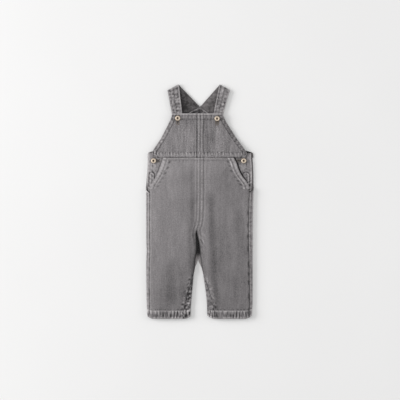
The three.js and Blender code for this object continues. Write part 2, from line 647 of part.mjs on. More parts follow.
const dungarees = new THREE.Group();
dungarees.name = 'dungarees';
for (const side of ['left', 'right']) {
  const bibButton = BUTTONS.find((b) => b.name === `button_bib_${side}`);
  const sideButton = BUTTONS.find((b) => b.name === `button_side_${side}`);
  add(dungarees, `back_${side}`, backPanel(side), denim);
  add(dungarees, `front_${side}`, frontPanel(side), denim);
  add(dungarees, `side_${side}`, withButtonhole(sidePiece(side), sideButton), paleDenim);
  add(dungarees, `bib_${side}`, withButtonhole(bibPanel(side), bibButton), denim);
  add(dungarees, `strap_${side}`, strap(side), paleDenim);
}
const facingTop = FACING_BOTTOM + CLOTH;
add(dungarees, 'back_bib', peakedSheet(BACK_BIB, BACK_BIB_LEVELS, 8, CLOTH), denim);
add(dungarees, 'back_facing', peakedSheet(BACK_FACING, BACK_FACING_LEVELS, 6, facingTop), insideDenim);
for (const spec of BUTTONS) {
  dungarees.add(buttonMesh(spec));
}

export default dungarees;
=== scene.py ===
"""Child's dungarees in washed grey denim, laid flat: cloth, seams, stitches, buttons and the studio.

Lengths in the tables are millimetres: +X is the viewer's right, +Y runs from the hems to the shoulders,
+Z is up. They are measured from the centre seam, and every piece is moved from there to the part's own
frame. "Out" is the distance from the middle line towards the side named.
"""

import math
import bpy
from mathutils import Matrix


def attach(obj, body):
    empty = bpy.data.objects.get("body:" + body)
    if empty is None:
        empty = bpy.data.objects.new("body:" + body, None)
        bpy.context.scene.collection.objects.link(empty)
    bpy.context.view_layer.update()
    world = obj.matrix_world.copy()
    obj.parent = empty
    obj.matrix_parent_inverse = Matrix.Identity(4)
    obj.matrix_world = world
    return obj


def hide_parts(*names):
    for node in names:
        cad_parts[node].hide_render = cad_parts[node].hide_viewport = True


bl_info = {
    "name": "Flat-laid dungarees",
    "version": (1, 0, 0),
    "blender": (4, 5, 0),
    "location": "View3D > Sidebar > Dungarees",
    "description": "Lays out a child's denim dungarees with their seams, stitches and buttons",
    "category": "Add Mesh",
}

import bpy
import numpy as np

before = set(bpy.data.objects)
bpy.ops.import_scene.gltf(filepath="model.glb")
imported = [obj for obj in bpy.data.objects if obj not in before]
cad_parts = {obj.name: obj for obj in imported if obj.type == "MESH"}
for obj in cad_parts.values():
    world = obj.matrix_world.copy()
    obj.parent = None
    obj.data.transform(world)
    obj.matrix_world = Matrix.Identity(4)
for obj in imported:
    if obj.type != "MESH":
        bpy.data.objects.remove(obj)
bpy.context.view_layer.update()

MM = 0.001
SIDES = ("left", "right")
SIGN = {"left": -1, "right": 1}


class Table:
    """Rows of named columns, read at any level on a smooth curve that never overshoots its rows."""

    def __init__(self, columns, *rows):
        self.rows = np.array(sorted(rows), dtype=float)
        self.columns = columns.split()

    def at(self, column, y):
        levels = self.rows[:, 0]
        values = self.rows[:, self.columns.index(column)]
        slopes = np.diff(values) / np.diff(levels)
        before, after = slopes[:-1], slopes[1:]
        total = np.where(before + after == 0, 1, before + after)
        inner = np.where(before * after <= 0, 0, 2 * before * after / total)
        tangents = np.concatenate([slopes[:1], inner, slopes[-1:]])
        y = np.clip(y, levels[0], levels[-1])
        i = np.clip(np.searchsorted(levels, y, side="right") - 1, 0, len(levels) - 2)
        width = levels[i + 1] - levels[i]
        t = (y - levels[i]) / width
        return (
            (2 * t**3 - 3 * t**2 + 1) * values[i]
            + (t**3 - 2 * t**2 + t) * width * tangents[i]
            + (3 * t**2 - 2 * t**3) * values[i + 1]
            + (t**3 - t**2) * width * tangents[i + 1]
        )


# Middle of the outline, as measured from the centre seam
MIDDLE = np.array([-1.05, 1, 0])

# Sizes shared with the part's solids
CLOTH = 1.1
STRAP = 1.8
SEAM_GAP = 0.3
ROLL = 1.75
ROLL_REACH = ROLL + CLOTH / 2
EDGE_TOP = CLOTH + 2 * ROLL
LOFT = 0.8
LOFT_START = 8
LOFT_WIDTH = 28
FREE_EDGE = 0.8
BIB_TOP = 220.5
WAIST = 110
HEM_EDGE = -292
HEM_HEIGHT = 20
HEM_TOP = HEM_EDGE + HEM_HEIGHT
HEM_RAISE = 0.6
HEM_SLOPE = 1.2
FORK_TOP = -70
BACK_FORK = -140
BACK_FORK_LENGTH = 30
POCKET_END = 32
POCKET_UNDERLAP = 9
BIB_HEIGHT = 5.7
BIB_SLOPE_WIDTH = 14
BACK_PEAK = (-0.5, 237)

# Bands of doubled cloth: width, slope beyond it, height
CENTRE_BAND = (6.4, 1.3, 0.5)
POCKET_BAND = (13.6, 1.6, 0.55)
SIDE_SEAM_BAND = (5.4, 1.3, 0.4)
BIB_SIDE_BAND = (9.6, 1.4, 0.5)
BIB_TOP_BAND = (13.4, 1.5, 0.6)
WAIST_BAND = (12, 1.4, 0.5)
PLACKET_BAND = (11, 1.4, 0.35)

OUTLINE = Table(
    "y left right",
    (121.5, -130.5, 130.3),
    (110, -130.9, 130.6),
    (85, -131.4, 132.1),
    (55, -133.8, 132.9),
    (25, -135, 132.8),
    (-20, -135, 131.7),
    (-95, -134.8, 131.1),
    (-125, -134, 130.9),
    (-155, -135, 131),
    (-215, -134.5, 130.9),
    (-245, -134, 130.8),
    (-275, -132.8, 129.6),
    (-292, -131.5, 128.8),
)
CENTRE_SEAM = Table(
    "y x", (222, 0.2), (110, 0.2), (0, 0), (-40, -1.4), (-58, -4.2), (-70, -8.4), (-100, -6.6), (-160, -5)
)
INNER_EDGE = Table(
    "y left right front_turn back_turn",
    (-70, -8.55, -8.25, 1, 0),
    (-80, -9.9, -7.4, 0.75, 0),
    (-90, -9.6, -5.2, 0.55, 0),
    (-100, -9, -3, 0.45, 0),
    (-115, -9, -0.8, 0.4, 0),
    (-128, -10.2, 0.4, 0.4, 0),
    (-140, -11.9, 1.3, 0.4, 0),
    (-150, -13, 2.3, 0.4, 0),
    (-162, -13.8, 3.9, 0.4, 0),
    (-168, -14.1, 4.8, 0.42, 0.1),
    (-174, -14.9, 6, 0.58, 0.33),
    (-179, -15.8, 6.9, 0.85, 0.65),
    (-184, -16.4, 7.7, 1, 1),
    (-200, -17.8, 10.2, 1, 1),
    (-215, -19.3, 12.4, 1, 1),
    (-245, -22, 16, 1, 1),
    (-275, -24, 17.4, 1, 1),
    (-292, -24.5, 18, 1, 1),
)
LAPS = Table(
    "y side_left side_right inseam",
    (32, 6.2, 8, 0.6),
    (-60, 6, 8.4, 0.6),
    (-152, 5.4, 7, 0.6),
    (-184, 5, 6.4, 1.6),
    (-215, 4.6, 5.8, 6),
    (-245, 4.4, 5.2, 11.5),
    (-275, 4.2, 4.6, 16),
    (-292, 4, 4.2, 17),
)
SIDE_TURN = Table("y turn", (44, 0), (36, 0.2), (30, 0.6), (22, 1))
POCKET_MOUTH = Table(
    "y left right",
    (110, -93, 84),
    (97, -96.5, 90.5),
    (82, -102, 95.5),
    (66, -109, 103.5),
    (51, -118, 115),
    (40, -124.6, 121.8),
    (32, -127, 123.4),
)
SIDE_PIECE = Table(
    "y left right",
    (121.5, 0.5, 3.4),
    (110, 0.5, 3.4),
    (97, 0.5, 3.2),
    (82, 0.6, 3),
    (66, 0.8, 3),
    (51, 1.6, 3),
    (42, 2.4, 3.4),
    (36, 3.2, 4),
    (27, 4.8, 5.5),
)
SIDE_PIECE_TOP = 2.9
# Arched row of stitches that ends the opening at a hip: middle, level of the arch, half width, foot
ARCH = {"left": (-121.3, 68.5, 6.6), "right": (114.6, 68.5, 8.6)}
ARCH_RISE = 6
ARCH_FOOT = 38
BIB_EDGE = Table(
    "y left right edge_top",
    (220.5, -69.6, 55.6, 5.6),
    (210, -72.2, 59.4, 5.3),
    (195, -79.1, 67.4, 3.6),
    (175, -89.3, 80.3, 2.8),
    (160, -97.2, 90, 2.8),
    (145, -106.8, 100.7, 3.6),
    (130, -116.6, 111.6, 4.8),
    (122, -120.7, 116.4, 5),
    (110, -114.5, 112, 5),
)
BACK_BIB = Table(
    "y left right peak",
    (207, -42, 41, 21.4),
    (185, -52, 50, 13),
    (165, -64, 62, 8),
    (145, -84, 82, 4),
    (130, -108, 107, 1.5),
    (121.5, -130.5, 131.7, 0),
    (110.15, -131, 133, 0),
)
BACK_FACING = Table(
    "y left right peak",
    (215.4, -41, 30, 21.2),
    (210, -40, 28.6, 18.2),
    (204, -38.6, 26.6, 14.4),
)
FACING_TOP = STRAP + SEAM_GAP + CLOTH

STRAP_WIDTH = 25
STRAP_BOTTOM = STRAP + SEAM_GAP
STRAP_TUCK = 8
STRAP_RAISE = 0.25
STRAPS = {
    "left": {
        "end": ((-65.6, 192.5), (-41.6, 192.5)),
        "fold": ((-81.2, 276.4), (-53.3, 291.8)),
        "back": ((-42, 215.3), (BACK_PEAK[0] - SEAM_GAP / 2, BACK_PEAK[1])),
    },
    "right": {
        "end": ((49.4, 192.5), (27.8, 192.5)),
        "fold": ((73.8, 277.2), (47.8, 291.4)),
        "back": ((41, 215.3), (BACK_PEAK[0] + SEAM_GAP / 2, BACK_PEAK[1])),
    },
}

# Soft troughs and ridges of the upper layer: from x, y to x, y, half width, rise
FOLDS = (
    (30, -30, 37, -235, 9, -1.2),
    (14, 15, 21, -185, 8, 0.45),
    (60, -120, 67, -255, 17, 0.35),
    (100, 10, 98, -190, 12, -0.5),
    (-15, 40, -17, -110, 8, -0.8),
    (-68, -130, -72, -275, 16, -0.9),
    (-98, -110, -100, -265, 14, 0.4),
    (-42, -20, -44, -200, 13, 0.35),
    (-74, 92, -62, 0, 15, 0.3),
    (66, 90, 74, 20, 11, -0.45),
    (24, 196, 22, 130, 11, -0.5),
    (-30, 200, -34, 128, 13, 0.25),
)
# Smaller creases, which the solids leave out
CREASES = (
    (50, -20, 50, -250, 20, -0.42),
    (-45, -85, -42, -215, 13, -0.35),
    (-100, -130, -98, -260, 15, -0.3),
    (86, -60, 86, -200, 14, 0.2),
    (27, 30, 32, -75, 9, -0.75),
    (-20, 105, -19, -75, 6, -0.5),
    (-82, -180, -82, -340, 24, -0.4),
    (-40, -190, -42, -330, 13, -0.4),
    (38, -190, 41, -320, 7, -0.8),
    (-20, -60, -24, -190, 7, -0.5),
    (-2, -82, 14, -108, 2.0, 0.7),
    (-1, -90, 9, -106, 1.6, -0.6),
    (0, -99, 13, -124, 2.2, 0.75),
    (1, -105, 15, -123, 1.7, -0.6),
    (1, -114, 11, -136, 1.9, 0.6),
    (2, -122, 14, -138, 1.7, -0.5),
    (2, -129, 10, -150, 2.0, 0.45),
    (4, -76, 20, -92, 2.4, 0.35),
    (-10, -84, -26, -104, 3, 0.3),
    (-9, -104, -22, -128, 3, 0.25),
    (-112, 80, -96, 104, 3, 0.35),
    (72, 92, 60, 66, 4, -0.35),
    (80, 84, 70, 40, 4, 0.3),
    (-58, 98, -52, 60, 5, 0.3),
    (-84, 60, -62, -10, 7, 0.25),
    (104, 20, 118, -70, 6, 0.3),
    (-112, 0, -108, -120, 6, 0.25),
    (40, -160, 58, -250, 6, 0.25),
    (-50, -150, -36, -262, 6, -0.3),
    (86, -170, 92, -268, 6, -0.3),
)

BUTTONS = {
    "button_bib_left": {"at": (-56, 208.5), "cap": 6.6, "foot": STRAP_BOTTOM + STRAP + SEAM_GAP},
    "button_bib_right": {"at": (42.2, 207.4), "cap": 6.6, "foot": STRAP_BOTTOM + STRAP + SEAM_GAP},
    "button_side_left": {"at": (-116.5, 102.4), "cap": 3.7, "foot": CLOTH + SEAM_GAP},
    "button_side_right": {"at": (108.8, 102.4), "cap": 3.7, "foot": CLOTH + SEAM_GAP},
}
BUTTON_RADIUS = 7
BUTTON_BASE = 0.9
BUTTON_BEVEL = 0.35
STEM_RADIUS = 1.05
# Steps from a cap's rim over its roll and into its hollow: how far in, how far up
BUTTON_STEPS = (
    (0.35, 0.75), (0.7, 0.7), (1.0, 0.35), (1.15, 0.0), (0.75, -0.4),
    (0.35, -0.8), (0.2, -1.0), (0.7, -0.1), (0.6, 0.35), (0.5, 0.25),
)

# Buttonholes: width of the slot, and how far it runs behind the button and before it
HOLE_WIDTH = 2.6
HOLE_BEFORE = 3
HOLE_REACH = 13
HOLE_LEVEL = 5
HOLE_DEPTH = 14


def ease(t):
    s = np.clip(t, 0, 1)
    return s * s * (3 - 2 * s)


def mix(a, b, t):
    return a + (b - a) * t


def wander(t, seed):
    """A smooth uneven wave between -1 and 1, with a new height at each whole number of t."""
    cell = np.floor(t)
    part = ease(t - cell)

    def height(n):
        x = np.sin(n * 127.1 + seed * 311.7) * 43758.5453
        return 2 * (x - np.floor(x)) - 1

    return mix(height(cell), height(cell + 1), part)


def clouds(x, y, seed):
    """Smooth uneven patches between -1 and 1, a cell for each whole number of x and y."""
    row = np.floor(y)
    part = ease(y - row)
    return mix(wander(x, seed + row * 0.618), wander(x, seed + (row + 1) * 0.618), part)


def line(distance, at, width):
    """A soft line: 1 on it, 0 away from it."""
    return np.exp(-(((distance - at) / width) ** 2))


def worn(along, seed):
    """How far a seam's line is worn pale from place to place, from none to all."""
    return 0.55 + 0.3 * wander(along / 6.5, seed) + 0.25 * wander(along / 2.9, seed + 3)


def pits(along, distance, at, width, spacing, seed):
    """A row of uneven small hollows beside a stitched seam, as puckered cloth has."""
    swing = 0.5 + 0.5 * np.sin(2 * np.pi * (along / spacing + 0.4 * wander(along / (1.7 * spacing), seed)))
    size = 0.65 + 0.35 * wander(along / (1.3 * spacing), seed + 5)
    return line(distance, at, width) * swing**2 * size


def puckers(along, across, spacing, lean, seed):
    """Uneven ridges across a band of cloth, between -1 and 1."""
    phase = (along + lean * across) / spacing + 0.5 * wander(along / (2.1 * spacing), seed)
    size = 0.6 + 0.4 * wander(along / (1.4 * spacing), seed + 3)
    return np.sin(2 * np.pi * phase) * size


def band(distance, sizes):
    width, slope, raise_by = sizes
    rounded = np.sqrt(np.clip(distance / 1.0, 0, 1))
    return raise_by * np.where(distance < 0, 0, rounded * (1 - ease((distance - width) / slope)))


def troughs(x, y, folds):
    total = np.zeros_like(x)
    for x1, y1, x2, y2, width, rise in folds:
        dx, dy = x2 - x1, y2 - y1
        length = math.hypot(dx, dy)
        t = ((x - x1) * dx + (y - y1) * dy) / length**2
        away = np.abs((x - x1) * dy - (y - y1) * dx) / length
        total += rise * ease(t / 0.3) * ease((1 - t) / 0.3) * np.exp(-((away / width) ** 2))
    return total


def out_at(table, side, y):
    return SIGN[side] * table.at(side, y)


def seam_out(side, y):
    return SIGN[side] * CENTRE_SEAM.at("x", y) + SEAM_GAP / 2


def hem_raise(y):
    return HEM_RAISE * ease((HEM_TOP + HEM_SLOPE - y) / HEM_SLOPE)


def hem_lift(side, distance, y):
    lift, width = (6.5, 15) if side == "left" else (8.5, 17)
    near = np.clip(1 - np.clip(distance, 0, None) / width, 0, 1) ** 2
    return lift * near * ease((HEM_EDGE + 45 - y) / 45)


def rough_cloth(x, y, seed):
    """The low, uneven lie of washed cloth."""
    return 0.14 * clouds(x / 15, y / 34, seed) + 0.07 * clouds(x / 6, y / 13, seed + 2)


def tone_and_painted_light_falloff(x, y, seed):
    """Tone over a whole piece: a painted light falloff, paler at the upper left and darker at the lower
    right, and faintly clouded.
    """
    patches = 0.05 * clouds(x / 9, y / 60, seed) + 0.06 * clouds(x / 24, y / 40, seed + 7)
    return -0.22 - 0.0011 * x + 0.0009 * np.minimum(y + 25, 0) + patches


def hem_pattern(x, y, seed):
    """Height, worn tone and painted shade of a roped hem: steep ridges between its edge and its stitches,
    with painted shade in the puckered hollows above them.
    """
    depth = y - HEM_EDGE
    inside = ease(depth / 2) * ease((HEM_HEIGHT + 1 - depth) / 3)
    rope = 0.95 * puckers(x, depth, 8.4, -0.1, seed) + 0.4 * puckers(x, depth, 5.6, 0.25, seed + 9)
    rope *= 0.85 + 0.45 * wander(x / 13, seed + 14)
    rope += 0.6 * clouds(x / 4.6, depth / 7.5, seed + 15)
    hollow = pits(x, depth, HEM_HEIGHT + 2.6, 1.8, 8.3, seed + 4)
    height = 0.42 * rope * inside + 0.18 * rope * line(depth, HEM_HEIGHT + 4, 3) - 0.35 * hollow

    on_right_leg = ease((x + 5) / 10)
    wear = (0.95 * rope + 0.06 + 0.1 * on_right_leg) * inside - hollow
    wear += 0.75 * line(depth, HEM_HEIGHT - 1, 1.4) - 0.35 * line(depth, 8.5, 4.5)
    wear += 0.6 * line(depth, 2.2, 1.6)
    return height, wear


# Front leg panels


def front_start(side, y):
    """How far round the inner edge a front panel starts, and how far out."""
    forked = y < FORK_TOP
    turn = np.where(forked, INNER_EDGE.at("front_turn", y), 1)
    back = INNER_EDGE.at("back_turn", y)
    reach = np.where(back > 0, 1, np.sin(np.pi * np.maximum(turn, 0.5)))
    lap = np.where(turn >= 1, LAPS.at("inseam", y) + SEAM_GAP, 0)
    centre = np.where(forked, out_at(INNER_EDGE, side, y) + ROLL_REACH * reach + lap, seam_out(side, y))
    return turn, centre


def front_end(side, y):
    mouth = out_at(POCKET_MOUTH, side, y)
    seam = out_at(OUTLINE, side, y) - ROLL_REACH - LAPS.at("side_" + side, y) - SEAM_GAP
    low = mix(out_at(POCKET_MOUTH, side, POCKET_END), seam, ease((POCKET_END - y) / 10))
    return np.where(y > POCKET_END, mouth, low)


def front_length(side, y):
    turn, centre = front_start(side, y)
    return front_end(side, y) - centre + ROLL * np.pi * (1 - turn)


def leg_top(side, out, y):
    inner = np.where(y < FORK_TOP, out_at(INNER_EDGE, side, y), -1e4)
    edge = np.minimum(out_at(OUTLINE, side, y) - out, out - inner)
    x = SIGN[side] * out
    near = ease(edge / LOFT_START)
    return EDGE_TOP + LOFT * ease((edge - LOFT_START) / LOFT_WIDTH) + troughs(x, y, FOLDS + CREASES) * near


def centre_pattern(side, s, y, seed):
    """Height, worn tone and painted shade beside the centre seam, which is topstitched as far as the fork."""
    fade = ease((y + 120) / 40)
    ripple = puckers(y, s, 9, 0, seed + 11)
    # a line of painted shade at the foot of the seam band, a little stronger on the left
    dark = 0.5 if side == "left" else 0.4
    wear = 0.7 * line(s, 4, 1.5) * worn(y, seed + 12)
    wear -= dark * line(s, 8, 1.5) * (0.4 + 0.6 * worn(y, seed + 13))
    wear += 0.3 * line(s, 11.5, 1.7) - 0.2 * line(s, 0.2, 0.9) + 0.14 * ripple * line(s, 4, 4)
    return 0.1 * fade * ripple * line(s, 4, 5), fade * wear


def fork_shade(side, s, turned, y):
    """How much darker a front panel is beside the fork, where turned is its width on the roll."""
    beside_fork = ease((-66 - y) / 12) * ease((y + 205) / 40)
    shade, reach = (0.8, 5) if side == "left" else (0.3, 3)
    past_roll = np.maximum(s - turned, 0)
    return beside_fork * (shade * np.exp(-((past_roll / reach) ** 2)) + 1.2 * ease((turned - s) / 2))


def pocket_pattern(from_end, y, seed):
    """Height, worn tone and painted shade of a pocket mouth, with its two rows of stitches and painted shade
    in its puckered hollows.
    """
    hollow = pits(y, from_end, 19.5, 2.6, 12, seed + 20)
    ripple = puckers(y, from_end, 8, 0.6, seed + 21) * line(from_end, 8, 6)
    wear = 0.9 * line(from_end, 4.6, 3.4) * (0.3 + worn(y, seed + 22)) - 0.45 * line(from_end, 10.2, 1.3)
    wear += 1.5 * line(from_end, 13.8, 1.8) * worn(y, seed + 23) - 1.7 * hollow + 0.4 * ripple
    return 0.16 * ripple - 0.4 * hollow, wear


def side_seam_pattern(side, from_end, y, seed):
    """Height, worn tone and painted shade of a front panel beside its side seam, darker in its puckered
    hollows.
    """
    if side == "left":
        hollow = pits(y, from_end, -0.6, 1.9, 29, seed + 30)
        wear = 0.4 * line(from_end, 2.2, 1.4) * worn(y, seed + 31) + 0.3 * line(from_end, 3.5, 4.5)
        wear -= 0.45 * line(from_end, -0.2, 1.3) + 1.2 * hollow
    else:
        hollow = pits(y, from_end, 0.9, 2.6, 31, seed + 30)
        wear = -0.1 * line(from_end, 1.2, 1.9) - 1.3 * hollow
    return -0.35 * hollow, wear


def inseam_pattern(side, s, y, seed):
    """Height and tone of the puckered inseam, which shows towards the hem: mottled, darker on the left leg
    and paler on the right.
    """
    shown = ease((-172 - y) / 30)
    mottle = 0.5 * puckers(y, s, 12.5, 0.5, seed + 40) + 0.4 * puckers(y, s, 7.4, -0.6, seed + 41)
    mottle += 1.1 * clouds(y / 4.2, s / 3.6, seed + 42)
    contrast, dark = (0.95, 0.4) if side == "left" else (0.55, -0.45)
    wear = (contrast * mottle - dark * ease((y + 262) / 20)) * line(s, 3, 6)
    return 0.25 * shown * mottle * line(s, 3, 5), shown * wear


def waist_pattern(x, y, seed):
    """Height, worn tone and painted shade of a front panel below the waist seam, darker in its puckered
    hollows.
    """
    depth = WAIST - y
    hollow = pits(x, depth, 7.6, 2.2, 9, seed + 50)
    wear = 0.8 * line(depth, 2, 1.5) * worn(x, seed + 51) - 0.1 * line(depth, 6.6, 1.4)
    wear += 0.2 * ease((52 - depth) / 34) * ease((depth - 5) / 3) - 0.5 * hollow
    return -0.3 * hollow - 0.2 * line(depth, 0.2, 0.8), wear


def front_cloth(side, s, y):
    """Points, worn tone and painted shade of a front panel's face, s millimetres from its inner end."""
    seed = 3 if side == "left" else 17
    turn, centre = front_start(side, y)
    turned = ROLL * np.pi * (1 - turn)
    from_end = front_length(side, y) - s
    out = centre + s - turned
    x = SIGN[side] * out
    at_pocket = y > POCKET_END

    centre_raise = band(s, CENTRE_BAND) * np.where(y > -150, 1, 0.6)
    edge_raise = np.where(at_pocket, band(from_end, POCKET_BAND), band(from_end, SIDE_SEAM_BAND))
    raised = np.maximum(centre_raise, edge_raise) + hem_raise(y)

    height = rough_cloth(x, y, seed) * ease(s / 3) * ease(from_end / 3)
    # painted shade in the troughs of the folds and creases, painted light on their ridges
    wear = tone_and_painted_light_falloff(x, y, seed) + 0.32 * troughs(x, y, FOLDS) + 0.5 * troughs(x, y, CREASES)
    wear -= fork_shade(side, s, turned, y)
    pocket = pocket_pattern(from_end, y, seed)
    side_seam = side_seam_pattern(side, from_end, y, seed)
    patterns = (
        centre_pattern(side, s, y, seed),
        [np.where(at_pocket, upper, lower) for upper, lower in zip(pocket, side_seam)],
        inseam_pattern(side, s, y, seed),
        waist_pattern(x, y, seed),
        hem_pattern(x, y, seed + 60),
    )
    for pattern_height, pattern_wear_and_shade in patterns:
        height += pattern_height
        wear += pattern_wear_and_shade

    edge = np.minimum(out_at(OUTLINE, side, y) - out, out - out_at(INNER_EDGE, side, y))
    flat_z = leg_top(side, out, y) + raised + height
    flat_y = y + hem_lift(side, edge, y)

    angle = np.pi * turn + s / ROLL
    radius = ROLL + CLOTH / 2 + raised
    round_out = centre - radius * np.sin(angle)
    round_z = ROLL + CLOTH / 2 - radius * np.cos(angle)
    on_roll = s < turned
    # the cloth on the roll is painted a little darker, as shade where it turns down
    return (
        SIGN[side] * np.where(on_roll, round_out, out),
        np.where(on_roll, y, flat_y),
        np.where(on_roll, round_z, flat_z),
        np.where(on_roll, wear - 0.3, wear),
    )


# Back leg panels


def turned_edge(turn, lap, q):
    """Middle line of a wall that turns up and over its edge: q runs 0..1 over the roll, 1..2 over the lap.

    Gives the reach and level of each point, the way its face looks, out and up, and the distance to the end.
    """
    angle = np.maximum(np.pi * turn, 1e-4)
    length = mix(ROLL_REACH - FREE_EDGE, np.pi * ROLL, turn)
    radius = length / angle
    lap_length = mix(FREE_EDGE, lap, ease((turn - 0.6) / 0.4))
    a = angle * np.clip(q, 0, 1)
    along_lap = lap_length * np.clip(q - 1, 0, 1)
    reach = radius * np.sin(a) + along_lap * np.cos(a)
    level = radius * (1 - np.cos(a)) + along_lap * np.sin(a)
    return reach, level, np.sin(a), -np.cos(a), lap_length - along_lap


def mottle_strength(side, q):
    """A back panel is more mottled along its inner lap than at the side seam."""
    return np.where(q < 0, 1.1 if side == "left" else 0.6, 0.3)


def back_wear_and_shade(side, q, y, from_seam, mottle, over):
    """Worn tone, painted shade and painted light of the parts of a back panel that turn over to the front;
    over is 1 where the face looks up.
    """
    # the inner lap is darker on the left leg above the hem and a little paler on the right
    if side == "left":
        inner_tone, on_roll, on_lap = -0.65 * ease((y + 268) / 36), 0.45, 0.5
    else:
        inner_tone, on_roll, on_lap = 0.15, 0.65, 0.1
    stitch_line = 0.5 * line(from_seam, 3, 1.2) - 0.45 * line(from_seam, 5.8, 1.2)
    wear = mottle_strength(side, q) * (mottle - 0.1) - 0.8 * line(from_seam, 0.2, 1)
    wear = (wear + np.where(q < 0, inner_tone, stitch_line)) * over
    # painted light on the outer roll and its lap
    wear += mix(on_roll, on_lap, ease((q - 2) / 0.3)) * ease((q - 1) / 0.5)

    # the inside of the cloth in the fork: painted deep shade, fading to a paler tone below it
    in_fork = ease((0.3 - np.maximum(q, 0)) / 0.3) * ease((-60 - y) / 8) * ease((y + 186) / 12)
    return wear + (1.6 - 5.6 * ease((y + 146) / 34)) * in_fork


def back_cloth(side, q, y):
    """q runs from -2, the end of the inner lap, to 0 over the roll, to 1 flat, to 3 up the outer edge."""
    seed = 5 if side == "left" else 23
    outline = out_at(OUTLINE, side, y)
    parting = ease((BACK_FORK - y) / BACK_FORK_LENGTH)
    inner_edge = mix(seam_out(side, y), out_at(INNER_EDGE, side, y), parting)
    inner_foot = inner_edge + ROLL_REACH
    outer_foot = outline - ROLL_REACH
    inner, outer = q < 0, q > 1

    def chosen(at_inner, at_outer, between):
        return np.where(inner, at_inner, np.where(outer, at_outer, between))

    in_reach, in_level, in_across, in_up, in_rest = turned_edge(
        INNER_EDGE.at("back_turn", y), LAPS.at("inseam", y), -q
    )
    out_reach, out_level, out_across, out_up, out_rest = turned_edge(
        SIDE_TURN.at("turn", y), LAPS.at("side_" + side, y), q - 1
    )
    flat = mix(inner_foot, outer_foot, np.clip(q, 0, 1))
    out = chosen(inner_foot - in_reach, outer_foot + out_reach, flat)
    z = chosen(in_level, out_level, 0) + CLOTH / 2
    across = chosen(-in_across, out_across, 0)
    up = chosen(in_up, out_up, -1)
    from_seam = np.where(inner, in_rest, out_rest)
    over = (1 + up) / 2

    x = SIGN[side] * out
    mottle = 0.5 * puckers(y, from_seam, 12.5, -0.5, seed + 40)
    mottle += 0.4 * puckers(y, from_seam, 7, 0.5, seed + 41)
    mottle += 1.1 * clouds(y / 4.6, from_seam / 3.4, seed + 42)
    hem_height, hem_wear_and_shade = hem_pattern(x, y, seed + 60)
    height = 0.6 * rough_cloth(x, y, seed) + 0.22 * mottle * mottle_strength(side, q) + hem_height
    wear = tone_and_painted_light_falloff(x, y, seed) + back_wear_and_shade(side, q, y, from_seam, mottle, over) + hem_wear_and_shade

    thick = CLOTH / 2 + (hem_raise(y) + height) * over
    clear = np.where(y < BACK_FORK, out - inner_edge, 1e3)
    lifted = y + hem_lift(side, np.minimum(outline - out, clear), y)
    return SIGN[side] * (out + across * thick), lifted, z + up * thick, wear


# Side pieces


def side_ends(side, y):
    outer = out_at(OUTLINE, side, y) - SIDE_PIECE.at(side, y)
    return out_at(POCKET_MOUTH, side, y) - POCKET_UNDERLAP, outer


def arch_distance(side, x, y):
    """Distance outside the arched row of stitches."""
    centre, top, half = ARCH[side]
    spring = top + ARCH_RISE - half
    above = np.hypot(x - centre, y - spring) - half
    beside = np.abs(x - centre) - half
    far_off = 9
    return np.where(y < ARCH_FOOT, far_off, np.where(y > spring, above, beside))


def side_cloth(side, s, y):
    """s is the distance in from the free outer edge."""
    seed = 31 if side == "left" else 37
    _, outer = side_ends(side, y)
    out = outer - s
    x = SIGN[side] * out
    raised = np.where(y > 45, band(s, PLACKET_BAND), 0.1)
    open_edge = ease((y - 45) / 4)
    arch = arch_distance(side, x, y)
    ripple = puckers(y, s, 11, 0.8, seed + 2) * ease((s - 1) / 2) * ease((20 - s) / 6)
    height = 0.08 * clouds(x / 5, y / 12, seed + 1) - 0.2 * line(arch, 0, 0.9)

    pale = 0.37 if side == "left" else 0.3
    wear = tone_and_painted_light_falloff(x, y, seed) + pale + 0.45 * clouds(x / 3.6, y / 5, seed + 6)
    wear += open_edge * (0.9 * line(s, 1.2, 2.4) - 0.6 * line(s, 12.4, 1.3))
    wear += 0.7 * ripple * ease((88 - y) / 10)
    wear += 0.6 * line(arch, -3, 1.3) - 1.6 * line(arch, 0, 1.3)

    # shade under the pocket mouth, which gapes more at the right
    mouth = s - (outer - out_at(POCKET_MOUTH, side, y))
    shade = 2.6 if side == "right" else 0.7
    wear -= shade * np.exp(-((np.minimum(mouth + 2.2, 0) / 1.6) ** 2)) * ease((y - 50) / 12)
    return x, y, SIDE_PIECE_TOP + raised + height, wear


# Bib


def bib_width(side, y):
    return out_at(BIB_EDGE, side, y) - seam_out(side, y)


def bib_top(side, out, y):
    edge = out_at(BIB_EDGE, side, y) - out
    rise = ease(edge / BIB_SLOPE_WIDTH)
    folds = troughs(SIGN[side] * out, y, FOLDS)
    return mix(BIB_EDGE.at("edge_top", y), BIB_HEIGHT, rise) + folds * rise


